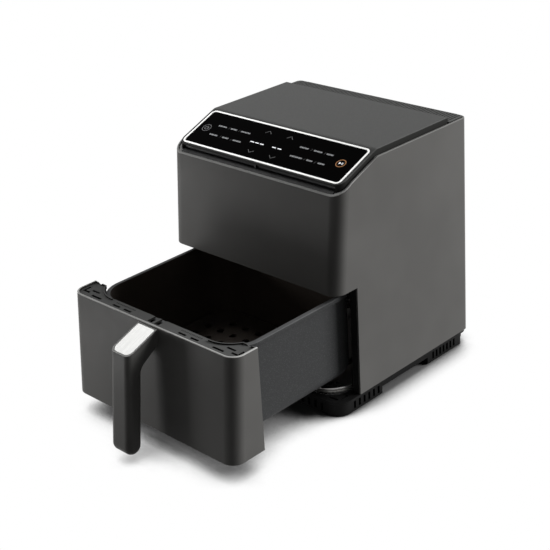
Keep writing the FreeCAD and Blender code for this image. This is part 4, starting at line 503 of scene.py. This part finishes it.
ROLLED = (1.0, 1.0, 0.06)
finishes["sheet_steel"] = metal("mill_sheet_steel", (0.50, 0.50, 0.49), 0.46, 0.6, 0.004, ROLLED)
finishes["bright_dish"] = metal("bright_pressed_dish", (0.42, 0.415, 0.405), 0.26, 0.4, 0.02)
finishes["heater_sheath"] = metal("heated_sheath", (0.17, 0.15, 0.14), 0.38, 0.6, 0.006)
finishes["fastener_steel"] = metal("fastener_steel", (0.42, 0.42, 0.42), 0.28, 0.44, 0.003)
print("finishes with the metals:", len(finishes))

# %% [markdown]
# The last few finishes are for pieces that show only from behind or through a gap: the motor's dark
# enamel, green circuit board with a gloss resist, pale plastic and soft rubber for the feet. The
# chamber's lining has a dark coat baked on, with a pale steel-grey painted highlight on its front lips.

# %% Motor, boards, pale plastic, rubber and lining


def moulding(name, colour, low, high, lumps, height, specular=0.4):
    """A moulded or painted skin with a slow change of gloss and a fine relief."""
    finish = new_finish(name, colour, high, specular=specular)
    tint(finish, grain(finish, lumps, 3.0), shade(colour, 0.88), shade(colour, 1.1))
    vary(finish, grain(finish, lumps, 3.0), "Roughness", low, high)
    emboss(finish, grain(finish, 0.0009, 2.0), height, 0.5)
    return finish


finishes["motor_paint"] = moulding("motor_enamel", (0.07, 0.07, 0.075), 0.3, 0.45, 0.02, 0.00004)
finishes["circuit_board"] = moulding("board_resist", (0.02, 0.11, 0.05), 0.2, 0.38, 0.004, 0.00005)
finishes["light_plastic"] = moulding("pale_plastic", (0.72, 0.72, 0.69), 0.42, 0.58, 0.02, 0.00004)
finishes["soft_rubber"] = moulding("soft_rubber", (0.018, 0.018, 0.018), 0.65, 0.82, 0.01, 0.00008, 0.25)

LINING = (0.022, 0.022, 0.021)
# Pale steel grey painted on the front-facing lips as a painted highlight.
PAINTED_LIP_HIGHLIGHT = (0.45, 0.45, 0.44)
lining = new_finish("lining_coat", LINING, 0.55, specular=0.06)
baked = tint(lining, grain(lining, 0.02, 3.0), shade(LINING, 0.88), shade(LINING, 1.1))
blend(lining, facing(lining, "Y", -0.5, -0.9), baked, PAINTED_LIP_HIGHLIGHT)
vary(lining, grain(lining, 0.02, 3.0), "Roughness", 0.46, 0.6)
emboss(lining, grain(lining, 0.0009, 2.0), 0.00004, 0.5)
finishes["lining_coat"] = lining
print("finishes:", len(finishes))

# %% [markdown]
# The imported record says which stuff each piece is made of, so the finishes are given out by that list.
# The chamber's lining is the exception: it is sheet steel, and takes the dark coat over it.

# %% Give every piece its finish
COATED = {"chamber_liner": "lining_coat"}

for piece in frame["record"]["subparts"]:
    thing = frame["nodes"][piece["node"]]
    finish = finishes[COATED.get(piece["node"], piece["material_slot"])]
    if not thing.material_slots:
        thing.data.materials.append(finish)
    for slot in thing.material_slots:
        slot.link = "OBJECT"
        slot.material = finish

# %% [markdown]
# ## Marks on the touch panel
# Light shines through clear gaps in the ink. The marks lie on the glass as films a twentieth of a
# millimetre thick. They are plain signs of no maker: a power ring, rows of short bars where program
# names would be, dashes for the digits, arrows, and a start sign in an amber ring. The glass itself
# gives their place: its largest upward face is the sloping plane they lie on.

# %% The panel's plane
FILM = 0.00005

pane = frame["nodes"]["touch_panel"]
top_face = max((f for f in pane.data.polygons if f.normal.z > 0.5), key=lambda f: f.area)
outward = top_face.normal.copy()
across = Vector((1.0, 0.0, 0.0))
upward = outward.cross(across)
low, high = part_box("touch_panel")
middle = Vector([(a + b) / 2 for a, b in zip(low, high)])
middle -= outward * (middle - pane.data.vertices[top_face.vertices[0]].co).dot(outward)
print("panel slope in degrees:", round(math.degrees(math.acos(outward.z)), 2))

# %% [markdown]
# Every mark is drawn from two shapes: a bar, and a line of even width that may bend or close into a
# ring. Both are worked out flat, in millimetres across and up the panel from its middle.

# %% Drawing tools for marks


def bar(x, up, width, height):
    """The corners of an upright bar about a point, in millimetres on the panel."""
    w, h = width / 2, height / 2
    return [[(x - w, up - h), (x + w, up - h), (x + w, up + h), (x - w, up + h)]]


def ribbon(points, width):
    """Four-cornered pieces of a line of even width through some points."""
    left, right = [], []
    for i, point in enumerate(points):
        before = points[max(i - 1, 0)]
        after = points[min(i + 1, len(points) - 1)]
        along = (Vector(after) - Vector(before)).normalized()
        out = Vector((-along.y, along.x)) * width / 2
        left.append(tuple(Vector(point) + out))
        right.append(tuple(Vector(point) - out))
    return [[left[i], right[i], right[i + 1], left[i + 1]] for i in range(len(points) - 1)]


def circle(x, up, radius, start=0.0, end=360.0, steps=48):
    """Points round a circle, counted in degrees from its right."""
    turns = [math.radians(start + (end - start) * i / steps) for i in range(steps + 1)]
    return [(x + radius * math.cos(t), up + radius * math.sin(t)) for t in turns]


print("shapes: bar, ribbon, circle")

# %% [markdown]
# Each flat outline is laid on the glass and given a thickness, so that a mark is a thin solid and not a
# loose face. Its light comes from emission that is a little uneven, as light through ink is.

# %% Films on the glass
MM = 0.001
marks = []


def film(name, shapes, finish):
    """One thin piece on the glass from flat outlines in millimetres."""
    mesh = bmesh.new()
    for outline in shapes:
        spots = [middle + across * (x * MM) + upward * (up * MM) for x, up in outline]
        under = [mesh.verts.new(spot) for spot in spots]
        over = [mesh.verts.new(spot + outward * FILM) for spot in spots]
        mesh.faces.new(over)
        mesh.faces.new(under[::-1])
        for i in range(len(spots)):
            j = (i + 1) % len(spots)
            mesh.faces.new((under[i], under[j], over[j], over[i]))
    bmesh.ops.remove_doubles(mesh, verts=mesh.verts, dist=1e-7)
    bmesh.ops.recalc_face_normals(mesh, faces=mesh.faces)
    data = bpy.data.meshes.new(name)
    mesh.to_mesh(data)
    mesh.free()
    data.materials.append(finish)
    piece = bpy.data.objects.new(name, data)
    bpy.context.collection.objects.link(piece)
    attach(piece, "housing")
    marks.append(piece)


def lit(name, colour, glow):
    """A mark lit from behind, a little uneven as light through ink is."""
    finish = new_finish(name, colour, 0.35)
    shader_of(finish).inputs["Emission Color"].default_value = (*colour, 1.0)
    cloud = grain(finish, 0.004, 2.0)
    vary(finish, cloud, "Emission Strength", glow * 0.85, glow * 1.15)
    vary(finish, grain(finish, 0.002), "Roughness", 0.3, 0.45)
    return finish


bright = lit("lit_bright", (0.9, 0.92, 0.95), 0.75)
soft = lit("lit_soft", (0.3, 0.31, 0.32), 0.4)
dim = lit("lit_dim", (0.05, 0.05, 0.05), 0.25)
amber = lit("lit_amber", (0.32, 0.13, 0.025), 0.6)
faint = lit("lit_faint", (0.15, 0.15, 0.155), 0.35)
print("mark finishes:", ", ".join(glow.name for glow in (bright, soft, dim, amber, faint)))

# %% [markdown]
# Program marks stand in two rows on each side. Each is a short run of bars of uneven width, about as
# long as a word, with a thin slash to the next one. A mark is given by its middle and its length.

# %% Program rows
BAR_HEIGHT = 2.3
BAR_GAP = 0.55
BAR_WIDTHS = (1.5, 0.8, 1.9, 1.2, 0.7, 1.6)
ROW_UPS = (8.9, -9.0)
LEFT_ROWS = (((-95.7, 15.5), (-75.2, 12.0), (-54.6, 16.5)), ((-96.5, 16.0), (-74.8, 12.5), (-54.7, 15.0)))
RIGHT_ROWS = (((47.3, 15.5), (69.9, 14.5), (88.8, 11.5)), ((47.4, 19.5), (69.5, 9.5), (88.4, 11.0)))
SLASH_REACH = (0.6, 1.8)
SLASH_LINE = 0.4


def program_mark(x, up, length, first):
    """A row of bars about as long as a word."""
    shapes = []
    at = x - length / 2
    i = first
    while at < x + length / 2 - BAR_WIDTHS[i % len(BAR_WIDTHS)]:
        width = BAR_WIDTHS[i % len(BAR_WIDTHS)]
        shapes += bar(at + width / 2, up, width, BAR_HEIGHT)
        at += width + BAR_GAP
        i += 1
    return shapes


programs = []
slashes = []
dx, dy = SLASH_REACH
for side_rows in (LEFT_ROWS, RIGHT_ROWS):
    for up, row in zip(ROW_UPS, side_rows):
        for i, (x, length) in enumerate(row):
            programs += program_mark(x, up, length, i * 2)
        for (x0, l0), (x1, l1) in zip(row, row[1:]):
            gap = ((x0 + l0 / 2) + (x1 - l1 / 2)) / 2
            slashes += ribbon([(gap - dx, up - dy), (gap + dx, up + dy)], SLASH_LINE)
film("program_bars", programs, soft)
film("program_slashes", slashes, dim)
print("program bars:", len(programs))

# %% [markdown]
# In the middle are the dashes of the display and four arrows to raise and lower its two values. At
# the left end is a power ring with its stroke, at the right end a start sign in an amber ring.

# %% Display, arrows and rings
DASH = (6.3, 1.5)
DASH_XS = (-32.3, -24.0, -15.7, 5.5, 14.8)
DASH_UP = -3.2
ARROW_XS = (-22.0, 14.9)
ARROW_UP = 19.6
ARROW_SIZE = (5.0, 2.2)
SIGN_LINE = 0.9
RING_R = 6.3
POWER_X = -118.5
POWER_RING_LINE = 0.7
POWER_R = RING_R * 0.45
POWER_SWEEP = (125.0, 415.0)
POWER_STROKE_UP = RING_R * 0.32
POWER_STROKE = RING_R * 0.5
START_X = 112.6
START_RING_LINE = 1.0
START_TIPS = ((-2.8, -2.0), (0.4, 0.0), (-2.8, 2.0))
PAUSE_XS = (1.5, 2.8)
PAUSE_BAR = (0.6, 3.4)

dashes = []
for x in DASH_XS:
    dashes += bar(x, DASH_UP, *DASH)
film("display_dashes", dashes, bright)

arrows = []
half, rise = ARROW_SIZE
for x in ARROW_XS:
    for way in (-1, 1):
        tip = way * (ARROW_UP + rise)
        foot = way * (ARROW_UP - rise)
        arrows += ribbon([(x - half, foot), (x, tip), (x + half, foot)], SIGN_LINE)
film("value_arrows", arrows, dim)

power = ribbon(circle(POWER_X, 0.0, RING_R), POWER_RING_LINE)
power += ribbon(circle(POWER_X, 0.0, POWER_R, *POWER_SWEEP, steps=32), SIGN_LINE)
power += bar(POWER_X, POWER_STROKE_UP, SIGN_LINE, POWER_STROKE)
film("power_ring", power, faint)

film("start_ring", ribbon(circle(START_X, 0.0, RING_R), START_RING_LINE), amber)
start = [[(START_X + x, up) for x, up in START_TIPS]]
for x in PAUSE_XS:
    start += bar(START_X + x, 0.0, *PAUSE_BAR)
film("start_sign", start, bright)
print("marks on the glass:", len(marks))
